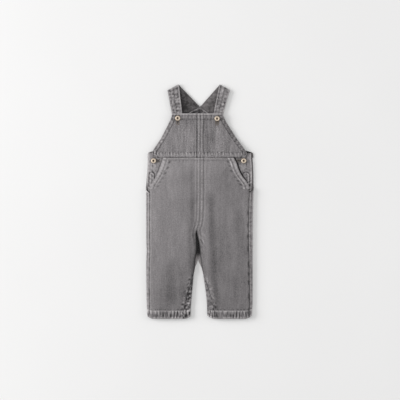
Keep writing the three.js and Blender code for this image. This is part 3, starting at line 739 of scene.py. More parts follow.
def bib_cloth(side, s, y):
    """s is the distance out from the centre seam."""
    seed = 41 if side == "left" else 47
    out = seam_out(side, y) + s
    x = SIGN[side] * out
    edge = bib_width(side, y) - s
    top_edge = BIB_TOP - y
    foot = y - WAIST
    raised = np.maximum.reduce([
        band(s, CENTRE_BAND), band(edge, BIB_SIDE_BAND), band(top_edge, BIB_TOP_BAND), band(foot, WAIST_BAND),
    ])
    height = rough_cloth(x, y, seed)
    # painted shade in the troughs of the folds, painted light on their ridges
    wear = tone_and_painted_light_falloff(x, y, seed) + 0.15 * troughs(x, y, FOLDS)
    wear += 0.24 * clouds(x / 2.8, y / 26, seed + 1)
    if side == "right":
        wear += 0.04 - 0.06 * line(x, 26, 22)

    # centre seam, with a line of painted shade at the foot of its band, much darker on the left
    dark_at, dark = (8.4, 1.25) if side == "left" else (6.9, 0.45)
    wear += 0.4 * line(s, 4, 1.4) - dark * line(s, dark_at, 1.6) - 0.4 * line(s, 0.2, 0.9)
    wear += 0.2 * line(s, 11.2, 1.3)

    # top hem, with painted shade in its puckered hollows
    top_hollow = pits(x, top_edge, 14.2, 2, 7.6, seed + 10)
    ripple = puckers(x, top_edge, 8.2, 0.2, seed + 11)
    streaks = np.clip(wander(x / 3.4, seed + 12), 0, 1)
    wear += 1.2 * line(top_edge, 1.3, 1.3) - 0.2 * line(top_edge, 5.4, 1.4) - 0.8 * top_hollow
    wear += 0.45 * ripple * line(top_edge, 8.5, 4.5) - 0.25 * line(top_edge, 14.2, 1.6)
    wear -= 0.45 * streaks * ease((top_edge - 12) / 3) * ease((46 - top_edge) / 30)
    height += 0.22 * ripple * line(top_edge, 9, 6) - 0.4 * top_hollow

    # side hem
    rope = puckers(y, edge, 10, 0.7, seed + 20) + 0.5 * puckers(y, edge, 6.5, -0.4, seed + 21)
    on_side = ease(edge / 1.5) * ease((13 - edge) / 3)
    roped, pale = (0.6, 0.35) if side == "left" else (0.7, 0.4)
    wear += on_side * (roped * rope - 0.3) + pale * line(edge, 6.2, 1.4) - 0.6 * line(edge, 11.2, 1.4)
    height += 0.22 * rope * on_side

    # waist seam, with painted shade in its hollows and along the bib's lower edge
    waist_hollow = pits(x, foot, 13.2, 2.2, 8.6, seed + 30)
    dashes = np.clip(puckers(x, foot, 7.2, 0.15, seed + 31), -0.3, 1)
    wear += 1.3 * dashes * line(foot, 10.5, 4) + 0.2 * line(foot, 6.2, 2.4) - 1.1 * waist_hollow
    wear -= (0.5 + 0.6 * wander(x / 16, 57)) * line(foot, 0.9, 1.3)
    height += 0.25 * dashes * line(foot, 9.5, 5) - 0.3 * waist_hollow
    return x, y, bib_top(side, out, y) + raised + height * ease(edge / 2), wear


# Upper back and its facing


def peaked_cloth(table, top, facing, t, y):
    """t runs 0..1 from the left edge to the right one, with the peak at a half; facing is 1 or 0."""
    left, right = table.at("left", y), table.at("right", y)
    x = np.where(t < 0.5, mix(left, BACK_PEAK[0], 2 * t), mix(BACK_PEAK[0], right, 2 * t - 1))
    reach = np.where(t < 0.5, left, right) - BACK_PEAK[0]
    off_peak = np.where(reach == 0, 0, (x - BACK_PEAK[0]) / reach)
    lifted = y + table.at("peak", y) * (1 - off_peak)
    from_top = table.rows[-1, 0] - y
    wear = 0.12 * clouds(x / 3, y / 14, 61) + 0.5 * wander(x / 4.2, 64)
    wear += 0.05 * line(from_top, 1, 1.3) - 0.9 * line(from_top, 4.2, 1.5)

    # shade: over the facing and its centre seam, by the left strap, and in the corner beside the bib
    wear -= facing * (0.35 + 1.4 * line(x, -1.5, 3.2) * ease((from_top - 4) / 3))
    wear -= 1.3 * line(x, -19, 14) * ease(from_top / 3)
    from_corner = np.hypot(x - 119, 0.8 * (y - 126))
    wear -= 3 * ease((9.5 - from_corner) / 4) * (1 - facing)
    return x, lifted, top + 0.05 * facing * clouds(x / 5, y / 5, 63), wear


# Straps


def strap_frame(side, v):
    """Edges of a strap, the way past its fold, and its turn.

    v runs 0..1 up the front, 1..2 over the fold, 2..3 down behind and 3..4 under the upper back.
    """
    end, fold, back = (np.array(STRAPS[side][key], dtype=float) for key in ("end", "fold", "back"))
    along = (fold[1] - fold[0]) / np.linalg.norm(fold[1] - fold[0])
    past = np.array([-along[1], along[0]]) * np.sign(along[0])
    tucked = back - np.array([0, STRAP_TUCK])
    rise, turn = np.clip(v, 0, 1), np.clip(v - 1, 0, 1)
    fall, tuck = np.clip(v - 2, 0, 1), np.clip(v - 3, 0, 1)

    def edge(k):
        part = [mix(end[k][axis], fold[k][axis], rise) for axis in (0, 1)]
        part = [mix(p, back[k][axis], fall) for axis, p in enumerate(part)]
        return [mix(p, tucked[k][axis], tuck) for axis, p in enumerate(part)]

    return edge(0), edge(1), past, turn


def strap_cloth(side, u, v):
    """u runs 0..1 from the outer edge to the inner one."""
    seed = 71 if side == "left" else 79
    outer, inner, past, turn = strap_frame(side, v)
    top, floor = STRAP_BOTTOM + STRAP / 2, STRAP / 2
    radius = (top - floor) / 2
    angle = np.pi * turn
    across = u * STRAP_WIDTH
    front_run, back_run = 88, 80
    along = np.where(v < 1, v * front_run, front_run + np.clip(v - 2, 0, 2) * back_run)
    from_edge = np.minimum(across, STRAP_WIDTH - across)
    body = ease(from_edge / 2.5)
    shown = (1 + np.cos(angle)) / 2

    # each half is roped by itself, with a groove between them painted dark as shade
    other_half = np.where(across < STRAP_WIDTH / 2, 0, 41)
    groove = line(across, 12, 1.6)
    patches = clouds(across / 3.2, (along + other_half) / 4.6, seed + 1)
    ridges = puckers(along + other_half, across, 8.6, 0.25, seed)
    rope = mix(1.1 * patches, 0.55 * ridges + 0.75 * patches, shown)
    wear = 0.95 * rope * ease(from_edge / 3) * mix(0.6, 1, shown) - 0.8 * groove * shown
    wear += (0.4 * line(from_edge, 0.6, 1.2) - 0.6 * line(from_edge, 4, 1.1)) * shown
    if side == "left":
        wear += (0.5 * line(across, 22.6, 2.2) - 0.2) * shown

    # the run behind is in shade, less so near the fold's inner end
    shade = 1.7 if side == "left" else 0.8
    wear -= (1 - shown) * (shade - 0.7 * line(across, STRAP_WIDTH, 10))

    height = (0.22 * rope * body + STRAP_RAISE * body - 0.15 * line(across, 12, 1.2)) * shown
    thick = STRAP / 2 + height
    push = (radius + thick) * np.sin(angle)
    x = mix(outer[0], inner[0], u) + past[0] * push
    y = mix(outer[1], inner[1], u) + past[1] * push
    z = (top + floor) / 2 + (radius + thick) * np.cos(angle)
    return x, y, z, wear


# Mesh making


def steps(start, end, size):
    """Even steps of about one size."""
    return np.linspace(start, end, max(2, int(round(abs(end - start) / size)) + 1))


def graded(length, near, fine, middle):
    """Distances along a width that changes from row to row: fine at both ends, even between them."""
    squeeze = np.minimum(1, 0.42 * length / near)[:, None]
    edge = squeeze * np.arange(0, near + fine / 2, fine)[None, :]
    share = np.linspace(0, 1, middle + 2)[1:-1][None, :]
    core = mix(edge[:, -1:], length[:, None] - edge[:, -1:], share)
    return np.hstack([edge, core, length[:, None] - edge[:, ::-1]])


def select_none():
    if bpy.context.mode != "OBJECT":
        bpy.ops.object.mode_set(mode="OBJECT")
    bpy.ops.object.select_all(action="DESELECT")


def apply_modifier(piece, kind, **settings):
    select_none()
    bpy.context.view_layer.objects.active = piece
    piece.select_set(True)
    modifier = piece.modifiers.new(kind.title(), kind)
    for key, value in settings.items():
        setattr(modifier, key, value)
    bpy.ops.object.modifier_apply(modifier=modifier.name)


def settle(piece, name):
    """Puts a finished piece at the origin, with its place in its mesh."""
    select_none()
    bpy.context.view_layer.objects.active = piece
    piece.select_set(True)
    bpy.ops.object.transform_apply(location=True, rotation=True, scale=True)
    piece.name = name
    piece.data.name = name


def lay_sheet(name, points, thickness, face_up):
    """A sheet of cloth: a grid primitive laid on worked-out points, then given its thickness."""
    x, y, z, wear = (np.asarray(part, dtype=float) for part in points)
    rows, columns = x.shape
    select_none()
    bpy.ops.mesh.primitive_grid_add(x_subdivisions=columns - 1, y_subdivisions=rows - 1, size=1)
    piece = bpy.context.object
    mesh = piece.data
    if len(mesh.vertices) != rows * columns:
        raise RuntimeError(f"{name}: the grid has {len(mesh.vertices)} points, not {rows * columns}")
    places = (np.stack([x, y, z], axis=-1).reshape(-1, 3) - MIDDLE) * MM
    mesh.vertices.foreach_set("co", places.ravel())
    # the stored value mixes worn paleness with painted shade and painted light
    layer = mesh.attributes.new("wear", "FLOAT", "POINT")
    layer.data.foreach_set("value", wear.ravel())
    mesh.update()
    upward = sum(p.normal.z * p.area for p in mesh.polygons)
    if (upward > 0) != face_up:
        mesh.flip_normals()
    for _ in ("right side", "wrong side"):
        mesh.materials.append(None)
    apply_modifier(
        piece, "SOLIDIFY", thickness=thickness * MM, offset=-1, use_even_offset=False, material_offset=1
    )
    settle(piece, name)
    bpy.ops.object.shade_smooth_by_angle(angle=math.radians(50))
    return piece


def declare(piece, node):
    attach(piece, "root")
    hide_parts(node)


STITCH = {"length": 2.3, "width": 0.62, "height": 0.42}


def one_stitch():
    """A stitch of thread, modelled once: a lengthened round bead with its ends drawn down."""
    select_none()
    bpy.ops.mesh.primitive_uv_sphere_add(segments=8, ring_count=6, radius=0.5)
    bead = bpy.context.object
    bpy.ops.object.mode_set(mode="EDIT")
    bpy.ops.mesh.select_all(action="SELECT")
    bpy.ops.transform.resize(value=(STITCH["length"], STITCH["width"], STITCH["height"]))
    bpy.ops.object.mode_set(mode="OBJECT")
    places = np.array([v.co[:] for v in bead.data.vertices])
    places[:, 2] -= 0.12 * (2 * places[:, 0] / STITCH["length"]) ** 2
    faces = [tuple(p.vertices) for p in bead.data.polygons]
    bpy.data.meshes.remove(bead.data)
    return places, faces


def sew(name, rows, material, pitch=3.1, sink=0.1):
    """Copies the stitch along rows of points, as one piece of sewing."""
    bead, bead_faces = one_stitch()
    places, faces = [], []
    for row in rows:
        gaps = np.linalg.norm(np.diff(row, axis=0), axis=1)
        reached = np.concatenate([[0], np.cumsum(gaps)])
        count = int(reached[-1] // pitch)
        middles = (np.arange(count) + 0.5) * reached[-1] / max(count, 1)
        for middle in middles:
            at, ahead = (
                np.array([np.interp(d, reached, row[:, axis]) for axis in range(3)])
                for d in (middle, middle + 0.6)
            )
            along = (ahead - at) / max(np.linalg.norm(ahead - at), 1e-6)
            if np.linalg.norm(ahead - at) < 1e-3:
                continue
            across = np.cross([0, 0, 1], along)
            across /= np.linalg.norm(across)
            upward = np.cross(along, across)
            moved = at - MIDDLE + bead @ np.stack([along, across, upward]) - upward * sink
            faces += [tuple(i + len(places) * len(bead) for i in face) for face in bead_faces]
            places.append(moved)
    mesh = bpy.data.meshes.new(name)
    mesh.from_pydata((np.concatenate(places) * MM).tolist(), [], faces)
    mesh.materials.append(material)
    piece = bpy.data.objects.new(name, mesh)
    bpy.context.scene.collection.objects.link(piece)
    select_none()
    bpy.context.view_layer.objects.active = piece
    piece.select_set(True)
    bpy.ops.object.shade_smooth()
    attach(piece, "root")
    return piece


# Materials


class Socket:
    """A node's output that can be used in sums."""

    def __init__(self, tree, socket):
        self.tree = tree
        self.socket = socket

    def math(self, operation, *values):
        return add_node(self.tree, "ShaderNodeMath", {"operation": operation}, *values)

    def __add__(self, other):
        return self.math("ADD", self, other)

    def __radd__(self, other):
        return self.math("ADD", other, self)

    def __sub__(self, other):
        return self.math("SUBTRACT", self, other)

    def __rsub__(self, other):
        return self.math("SUBTRACT", other, self)

    def __mul__(self, other):
        return self.math("MULTIPLY", self, other)

    def __rmul__(self, other):
        return self.math("MULTIPLY", other, self)

    def clamped(self):
        return add_node(self.tree, "ShaderNodeClamp", {}, self, 0.0, 1.0)


def add_node(tree, kind, settings, *values, output=0):
    """Adds a node, sets its settings, then its sockets by order or name, and returns one output."""
    node = tree.nodes.new(kind)
    for key, value in settings.items():
        if key == "stops":
            ramp = node.color_ramp
            while len(ramp.elements) < len(value):
                ramp.elements.new(0.5)
            for element, (position, colour) in zip(ramp.elements, value):
                element.position = position
                element.color = (*colour, 1)
        else:
            setattr(node, key, value)
    for key, value in enumerate(values):
        pairs = value.items() if isinstance(value, dict) else [(key, value)]
        for where, what in pairs:
            if isinstance(what, Socket):
                tree.links.new(what.socket, node.inputs[where])
            elif what is not None:
                node.inputs[where].default_value = what
    return Socket(tree, node.outputs[output])


def ramp(tree, value, *stops):
    """A colour that changes with a value, from stops of position and colour."""
    return add_node(tree, "ShaderNodeValToRGB", {"stops": stops}, value)


def piece_coordinates(tree):
    return add_node(tree, "ShaderNodeTexCoord", {}, output=3)


def painted(tree, name):
    """A value stored on a piece's points."""
    return add_node(tree, "ShaderNodeAttribute", {"attribute_name": name}, output=2)


def noise(tree, place, scale, detail, roughness=0.5):
    inputs = {"Vector": place, "Scale": scale, "Detail": detail, "Roughness": roughness}
    return add_node(tree, "ShaderNodeTexNoise", {}, inputs)


def new_material(name):
    material = bpy.data.materials.new(name)
    material.use_nodes = True
    tree = material.node_tree
    shader = next(n for n in tree.nodes if n.type == "BSDF_PRINCIPLED")
    return material, tree, shader


def feed(tree, shader, name, value):
    tree.links.new(value.socket, shader.inputs[name])


TWILL = 0.00105


def denim(name, deep, dark, middle, pale, contrast=1.0):
    """Washed denim: upright slubs, a fine slanting twill, pale worn ridges, and painted shade in hollows,
    creases and shaded parts.
    """
    material, tree, shader = new_material(name)
    place = piece_coordinates(tree)

    def speckle(stretch, detail, roughness=0.6):
        moved = add_node(tree, "ShaderNodeVectorMath", {"operation": "MULTIPLY"}, place, stretch)
        return noise(tree, moved, 1.0, detail, roughness)

    slub = speckle((420, 34, 420), 3.0)
    streak = speckle((150, 9, 150), 2.0)
    fleck = speckle((900, 620, 900), 2.0, 0.7)
    mottle = speckle((330, 300, 330), 1.0)
    patch = speckle((34, 24, 34), 2.0)
    across = add_node(tree, "ShaderNodeSeparateXYZ", {}, place)
    upward = Socket(tree, across.socket.node.outputs[1])
    slant = (across + upward * 0.7) * (2 * math.pi / TWILL)
    twill = slant.math("SINE", slant)
    # the stored value adds worn paleness, painted shade and painted light to the tone
    tone = (
        0.55
        + (slub - 0.5) * (0.30 * contrast)
        + (streak - 0.5) * (0.18 * contrast)
        + (fleck - 0.5) * (0.75 * contrast)
        + (mottle - 0.5) * (0.42 * contrast)
        + (patch - 0.5) * (0.18 * contrast)
        + twill * 0.03
        + painted(tree, "wear") * 0.30
    )
    colour = ramp(tree, tone.clamped(), (0.0, deep), (0.26, dark), (0.55, middle), (1.0, pale))
    feed(tree, shader, "Base Color", colour)
    shader.inputs["Roughness"].default_value = 0.92
    shader.inputs["Specular IOR Level"].default_value = 0.25
    shader.inputs["Sheen Weight"].default_value = 0.12
    shader.inputs["Sheen Roughness"].default_value = 0.6
    weave = twill * 0.25 + fleck * 0.5 + slub * 0.6
    bump = add_node(tree, "ShaderNodeBump", {}, {"Strength": 0.45, "Distance": 0.0004, "Height": weave})
    feed(tree, shader, "Normal", bump)
    return material


def thread(name, colour):
    """Twisted thread, a little uneven in tone."""
    material, tree, shader = new_material(name)
    twist = noise(tree, piece_coordinates(tree), 900.0, 2.0)
    low = tuple(0.72 * c for c in colour)
    high = tuple(min(1, 1.2 * c) for c in colour)
    feed(tree, shader, "Base Color", ramp(tree, twist, (0.3, low), (0.7, high)))
    shader.inputs["Roughness"].default_value = 0.7
    return material


def pale_brass(name, colour, patina_and_shade):
    """Soft brushed metal, darker in its hollow middle, with tarnish and painted shade, and round its rim,
    with a painted shadow.
    """
    material, tree, shader = new_material(name)
    smear = noise(tree, piece_coordinates(tree), 420.0, 3.0)
    tone = (smear * 0.35 + painted(tree, "hollow")).clamped()
    feed(tree, shader, "Base Color", ramp(tree, tone, (0.1, colour), (0.9, patina_and_shade)))
    feed(tree, shader, "Roughness", smear * 0.3 + 0.34)
    shader.inputs["Metallic"].default_value = 0.4
    return material


def studio_floor(name, colour):
    """Matt pale paper, very faintly uneven."""
    material, tree, shader = new_material(name)
    grain = noise(tree, piece_coordinates(tree), 3.0, 2.0)
    low = tuple(0.985 * c for c in colour)
    feed(tree, shader, "Base Color", ramp(tree, grain, (0.3, low), (0.7, colour)))
    shader.inputs["Roughness"].default_value = 0.95
    shader.inputs["Specular IOR Level"].default_value = 0.1
    return material


# What a user may change


def colour_property(name, description, default):
    return bpy.props.FloatVectorProperty(
        name=name, description=description, default=default, size=3, min=0, max=1, subtype="COLOR"
    )


class DungareesColours(bpy.types.PropertyGroup):
    deep: colour_property("Deep", "Denim in the deepest shade", (0.016, 0.015, 0.0155))
    dark: colour_property("Dark", "Denim in its hollows", (0.082, 0.077, 0.079))
    middle: colour_property("Middle", "Denim over most of the cloth", (0.222, 0.209, 0.213))
    pale: colour_property("Pale", "Denim on worn ridges", (0.50, 0.475, 0.48))
    # the wrong side is coloured darker than the outside, as painted shade where its faces show
    inside: colour_property("Inside", "Wrong side of the denim", (0.14, 0.13, 0.132))
    sewing: colour_property("Thread", "Sewing thread", (0.27, 0.255, 0.255))
    metal: colour_property("Buttons", "Button metal", (0.65, 0.55, 0.44))
    # this colour is both tarnish and painted shade in the buttons' hollows, and a painted shadow round their
    # rims
    patina_and_shade: colour_property("Patina", "Tarnish in the buttons' hollows", (0.11, 0.075, 0.045))
    # the buttonhole thread's dark colour also stands for a painted shadow round the buttons
    tack: colour_property("Buttonholes", "Buttonhole stitching", (0.105, 0.079, 0.055))
    floor: colour_property("Floor", "Studio floor", (0.80, 0.797, 0.795))


class DungareesSizes(bpy.types.PropertyGroup):
    grid: bpy.props.FloatProperty(
        name="Grid", description="Distance between rows of points in the cloth, in millimetres",
        default=1.6, min=1.0, max=6.0,
    )
    near: bpy.props.FloatProperty(
        name="Fine edge", description="Width of the fine columns beside seams, in millimetres",
        default=18.0, min=4.0, max=20.0,
    )
    camera_height: bpy.props.FloatProperty(
        name="Camera height", description="Height of the camera above the floor", default=3.2, min=1.0,
        max=10.0, unit="LENGTH",
    )
    picture_width: bpy.props.FloatProperty(
        name="Picture width", description="Width of floor that the picture takes in", default=1.0,
        min=0.5, max=3.0, unit="LENGTH",
    )


# How strongly the weave's tones vary
GRAIN = {"bib": 1.0, "legs": 0.54}


def made(name, maker, *values):
    """A material by name, made the first time that it is asked for."""
    return bpy.data.materials.get(name) or maker(name, *values)


def cloth_materials(grain):
    c = bpy.context.scene.dungarees_colours
    stops = (tuple(c.deep), tuple(c.dark), tuple(c.middle), tuple(c.pale))
    outside = made("denim for " + grain, denim, *stops, GRAIN[grain])
    # the wrong side's darker tones are painted shade
    deep, shade, lit = (tuple(min(1, k * v) for v in c.inside) for k in (0.12, 0.45, 2.1))
    inside = made("denim wrong side", denim, deep, shade, tuple(c.inside), lit, 0.8)
    return outside, inside


def dress(piece, grain="bib"):
    outside, inside = cloth_materials(grain)
    piece.data.materials[0] = outside
    piece.data.materials[1] = inside


def sewing_thread():
    return made("sewing thread", thread, tuple(bpy.context.scene.dungarees_colours.sewing))


def leg_rows():
    grid = bpy.context.scene.dungarees_sizes.grid
    body = steps(WAIST - SEAM_GAP / 2, HEM_TOP + 8, grid)
    return np.concatenate([body, steps(HEM_TOP + 8, HEM_EDGE, 1.0)[1:]])


def grid_over(values, y):
    return values, np.broadcast_to(y[:, None], values.shape)


class DUNGAREES_OT_front(bpy.types.Operator):
    """Lay the two front leg panels, with their pocket mouths, creases and hems"""

    bl_idname = "dungarees.front"
    bl_label = "Front panels"

    def execute(self, context):
        sizes = context.scene.dungarees_sizes
        y = leg_rows()
        for side in SIDES:
            s = graded(front_length(side, y), sizes.near, 1.0, 44)
            piece = lay_sheet(f"cloth_front_{side}", front_cloth(side, *grid_over(s, y)), CLOTH, True)
            dress(piece, "legs")
            declare(piece, f"front_{side}")
        return {"FINISHED"}


class DUNGAREES_OT_back(bpy.types.Operator):
    """Lay the two back leg panels, turned over both edges to the seams on the front"""

    bl_idname = "dungarees.back"
    bl_label = "Back panels"

    def execute(self, context):
        y = leg_rows()
        across = np.concatenate([
            np.linspace(-2, -1, 15), np.linspace(-1, 0, 9)[1:], np.linspace(0, 1, 34)[1:],
            np.linspace(1, 2, 9)[1:], np.linspace(2, 3, 9)[1:],
        ])
        q = np.tile(across, (len(y), 1))
        for side in SIDES:
            piece = lay_sheet(f"cloth_back_{side}", back_cloth(side, *grid_over(q, y)), CLOTH, False)
            dress(piece, "legs")
            declare(piece, f"back_{side}")
        return {"FINISHED"}


class DUNGAREES_OT_sides(bpy.types.Operator):
    """Lay the side pieces that fill the pocket mouths and button over the back"""

    bl_idname = "dungarees.sides"
    bl_label = "Side pieces"

    def execute(self, context):
        y = steps(121.5, 27, 1.2)
        for side in SIDES:
            inner, outer = side_ends(side, y)
            s = graded(outer - inner, 8, 0.8, 18)
            piece = lay_sheet(f"cloth_side_{side}", side_cloth(side, *grid_over(s, y)), CLOTH, True)
            dress(piece)
            cut_buttonhole(piece, f"button_side_{side}")
            declare(piece, f"side_{side}")
        return {"FINISHED"}


class DUNGAREES_OT_bib(bpy.types.Operator):
    """Lay the two halves of the bib, hemmed at the top and the sides"""

    bl_idname = "dungarees.bib"
    bl_label = "Bib"

    def execute(self, context):
        y = np.concatenate([
            steps(BIB_TOP, BIB_TOP - 16, 0.9), steps(BIB_TOP - 16, WAIST + 16, 1.5)[1:],
            steps(WAIST + 16, WAIST + SEAM_GAP / 2, 0.9)[1:],
        ])
        for side in SIDES:
            s = graded(bib_width(side, y), 14, 0.9, 40)
            piece = lay_sheet(f"cloth_bib_{side}", bib_cloth(side, *grid_over(s, y)), CLOTH, True)
            dress(piece)
            cut_buttonhole(piece, f"button_bib_{side}")
            declare(piece, f"bib_{side}")
        return {"FINISHED"}


class DUNGAREES_OT_upper_back(bpy.types.Operator):
    """Lay the pointed upper back and the facing that shows behind the bib"""

    bl_idname = "dungarees.upper_back"
    bl_label = "Upper back"

    def execute(self, context):
        y = steps(207, 110.15, 2.0)
        t = np.tile(np.linspace(0, 1, 71), (len(y), 1))
        piece = lay_sheet("cloth_upper_back", peaked_cloth(BACK_BIB, 0, 0, *grid_over(t, y)), CLOTH, False)
        dress(piece)
        declare(piece, "back_bib")
        y = steps(215.4, 204, 0.8)
        t = np.tile(np.linspace(0, 1, 61), (len(y), 1))
        points = peaked_cloth(BACK_FACING, FACING_TOP, 1, *grid_over(t, y))
        piece = lay_sheet("cloth_facing", points, CLOTH, True)
        dress(piece)
        declare(piece, "back_facing")
        return {"FINISHED"}


class DUNGAREES_OT_straps(bpy.types.Operator):
    """Lay the two straps, folded over at the shoulder"""

    bl_idname = "dungarees.straps"
    bl_label = "Straps"

    def execute(self, context):
        v = np.concatenate([
            steps(0, 1, 0.016), np.linspace(1, 2, 11)[1:], steps(2, 3, 0.016)[1:], np.linspace(3, 4, 6)[1:],
        ])
        u = np.tile(np.linspace(0, 1, 29), (len(v), 1))
        for side in SIDES:
            # a strap's longer run is the one behind, so most of its face looks down
            piece = lay_sheet(f"cloth_strap_{side}", strap_cloth(side, *grid_over(u, v)), STRAP, False)
            dress(piece)
            declare(piece, f"strap_{side}")
        return {"FINISHED"}


def hole_turn(name):
    """Which way a buttonhole runs from its button: down the bib, or in towards the middle."""
    if "bib" in name:
        return (0, -1)
    return (1, 0) if "left" in name else (-1, 0)


def cut_buttonhole(piece, name):
    """Cuts a slot with round ends through a sheet."""
    x, y = BUTTONS[name]["at"] - MIDDLE[:2]
    way = hole_turn(name)
    middle = (HOLE_REACH - HOLE_BEFORE) / 2
    length = HOLE_REACH + HOLE_BEFORE + HOLE_WIDTH
    select_none()
    bpy.ops.mesh.primitive_cube_add(
        size=1, location=((x + way[0] * middle) * MM, (y + way[1] * middle) * MM, HOLE_LEVEL * MM)
    )
    cutter = bpy.context.object
    size = (length, HOLE_WIDTH) if way[0] else (HOLE_WIDTH, length)
    bpy.ops.object.mode_set(mode="EDIT")
    bpy.ops.mesh.select_all(action="SELECT")
    bpy.ops.transform.resize(value=(size[0] * MM, size[1] * MM, HOLE_DEPTH * MM))
    bpy.ops.mesh.select_all(action="DESELECT")
    bpy.ops.object.mode_set(mode="OBJECT")
    for edge in cutter.data.edges:
        a, b = (cutter.data.vertices[i].co for i in edge.vertices)
        edge.select = abs(a.z - b.z) > HOLE_DEPTH / 2 * MM
    bpy.ops.object.mode_set(mode="EDIT")
    bpy.ops.mesh.bevel(offset=HOLE_WIDTH * 0.49 * MM, segments=6)
    bpy.ops.object.mode_set(mode="OBJECT")
    apply_modifier(piece, "BOOLEAN", operation="DIFFERENCE", solver="EXACT", object=cutter)
    bpy.data.meshes.remove(cutter.data)


def on_cloth(cloth, side, across, y):
    """Points of a row of stitches, on the face that one of the cloth functions gives."""
    return np.stack(cloth(side, across, y)[:3], axis=-1)


def level_row(cloth, side, y, start, end):
    """A row of stitches at one level, between two distances across the piece."""
    across = np.linspace(start, end, 300)
    return on_cloth(cloth, side, across, np.full_like(across, y))


class DUNGAREES_OT_stitches(bpy.types.Operator):
    """Sew the topstitching of the legs, pockets, hems, waist, bib, straps and buttonholes"""

    bl_idname = "dungarees.stitches"
    bl_label = "Stitches"

    def execute(self, context):
        yarn = sewing_thread()
        brown = made("buttonhole thread", thread, tuple(context.scene.dungarees_colours.tack))
        for side in SIDES:
            sew(f"stitches_leg_{side}", self.leg_stitches(side), yarn)
            sew(f"stitches_bib_{side}", self.bib_stitches(side), yarn)
            sew(f"stitches_strap_{side}", self.strap_stitches(side), yarn)
            sew(f"stitches_side_{side}", self.side_stitches(side), yarn)
            # the dark brown buttonhole thread, in three rows, is real stitching and also a painted shadow
            # beside the button
            for place, slot in (("bib", "denim"), ("side", "denim_pale")):
                rows = [self.hole_stitches(f"button_{place}_{side}", gap) for gap in (0.7, 1.7, 2.7)]
                sew(f"buttonhole_{place}_{side}", rows, brown, pitch=0.9)
        return {"FINISHED"}

    def leg_stitches(self, side):
        rows = []
        for from_end, top, bottom in (
            (2.2, WAIST - 3, POCKET_END + 1),
            (12.2, WAIST - 3, POCKET_END + 1),
            (3.4, POCKET_END - 12, HEM_TOP + 1),
        ):
            y = np.linspace(top, bottom, 500)
            rows.append(on_cloth(front_cloth, side, front_length(side, y) - from_end, y))
        y = np.linspace(WAIST - 1, FORK_TOP - 1, 500)
        rows.append(on_cloth(front_cloth, side, np.full_like(y, 5.4), y))
        for level, start, short_by in ((HEM_TOP - 1.6, 1, 1), (HEM_TOP - 4.2, 1, 1), (WAIST - 4, 8, 12)):
            width = float(front_length(side, np.array(level)))
            rows.append(level_row(front_cloth, side, level, start, width - short_by))
        return rows

    def bib_stitches(self, side):
        y = np.linspace(BIB_TOP - 2, WAIST + 2, 400)
        width = bib_width(side, y)
        rows = [on_cloth(bib_cloth, side, s, y) for s in (np.full_like(y, 5.4), width - 2.2, width - 8.4)]
        for level in (BIB_TOP - 2.2, BIB_TOP - 11.8, WAIST + 3):
            rows.append(level_row(bib_cloth, side, level, 1, float(bib_width(side, np.array(level))) - 2))
        return rows

    def strap_stitches(self, side):
        v = np.concatenate([np.linspace(0.32, 1, 200), np.linspace(1, 1.5, 20)[1:]])
        return [on_cloth(strap_cloth, side, np.full_like(v, u), v) for u in (0.1, 0.44, 0.9)]

    def side_stitches(self, side):
        centre, top, half = ARCH[side]
        spring = top + ARCH_RISE - half
        turn = np.linspace(0, math.pi, 120)
        legs = np.linspace(ARCH_FOOT + 6, spring, 60)
        beside = np.full_like(legs, half)
        x = centre + np.concatenate([beside, half * np.cos(turn), -beside])
        y = np.concatenate([legs, spring + half * np.sin(turn), legs[::-1]])
        arch = on_cloth(side_cloth, side, side_ends(side, y)[1] - SIGN[side] * x, y)
        y = np.linspace(119, 48, 200)
        return [arch, *(on_cloth(side_cloth, side, np.full_like(y, at), y) for at in (2.4, 10.2))]

    def hole_stitches(self, name, gap):
        """Close stitches round a buttonhole, a small gap outside its edge."""
        side = name.split("_")[-1]
        at, way = BUTTONS[name]["at"], hole_turn(name)
        reach = HOLE_WIDTH / 2 + gap
        turn = np.linspace(-math.pi / 2, math.pi / 2, 30)
        along = np.concatenate([HOLE_REACH + reach * np.cos(turn), -HOLE_BEFORE - reach * np.cos(turn)])
        across = np.concatenate([reach * np.sin(turn), -reach * np.sin(turn)])
        along, across = np.append(along, along[0]), np.append(across, across[0])
        x = at[0] + way[0] * along - way[1] * across
        y = at[1] + way[1] * along + way[0] * across
        if "bib" in name:
            return on_cloth(bib_cloth, side, SIGN[side] * x - seam_out(side, y), y)
        return on_cloth(side_cloth, side, side_ends(side, y)[1] - SIGN[side] * x, y)


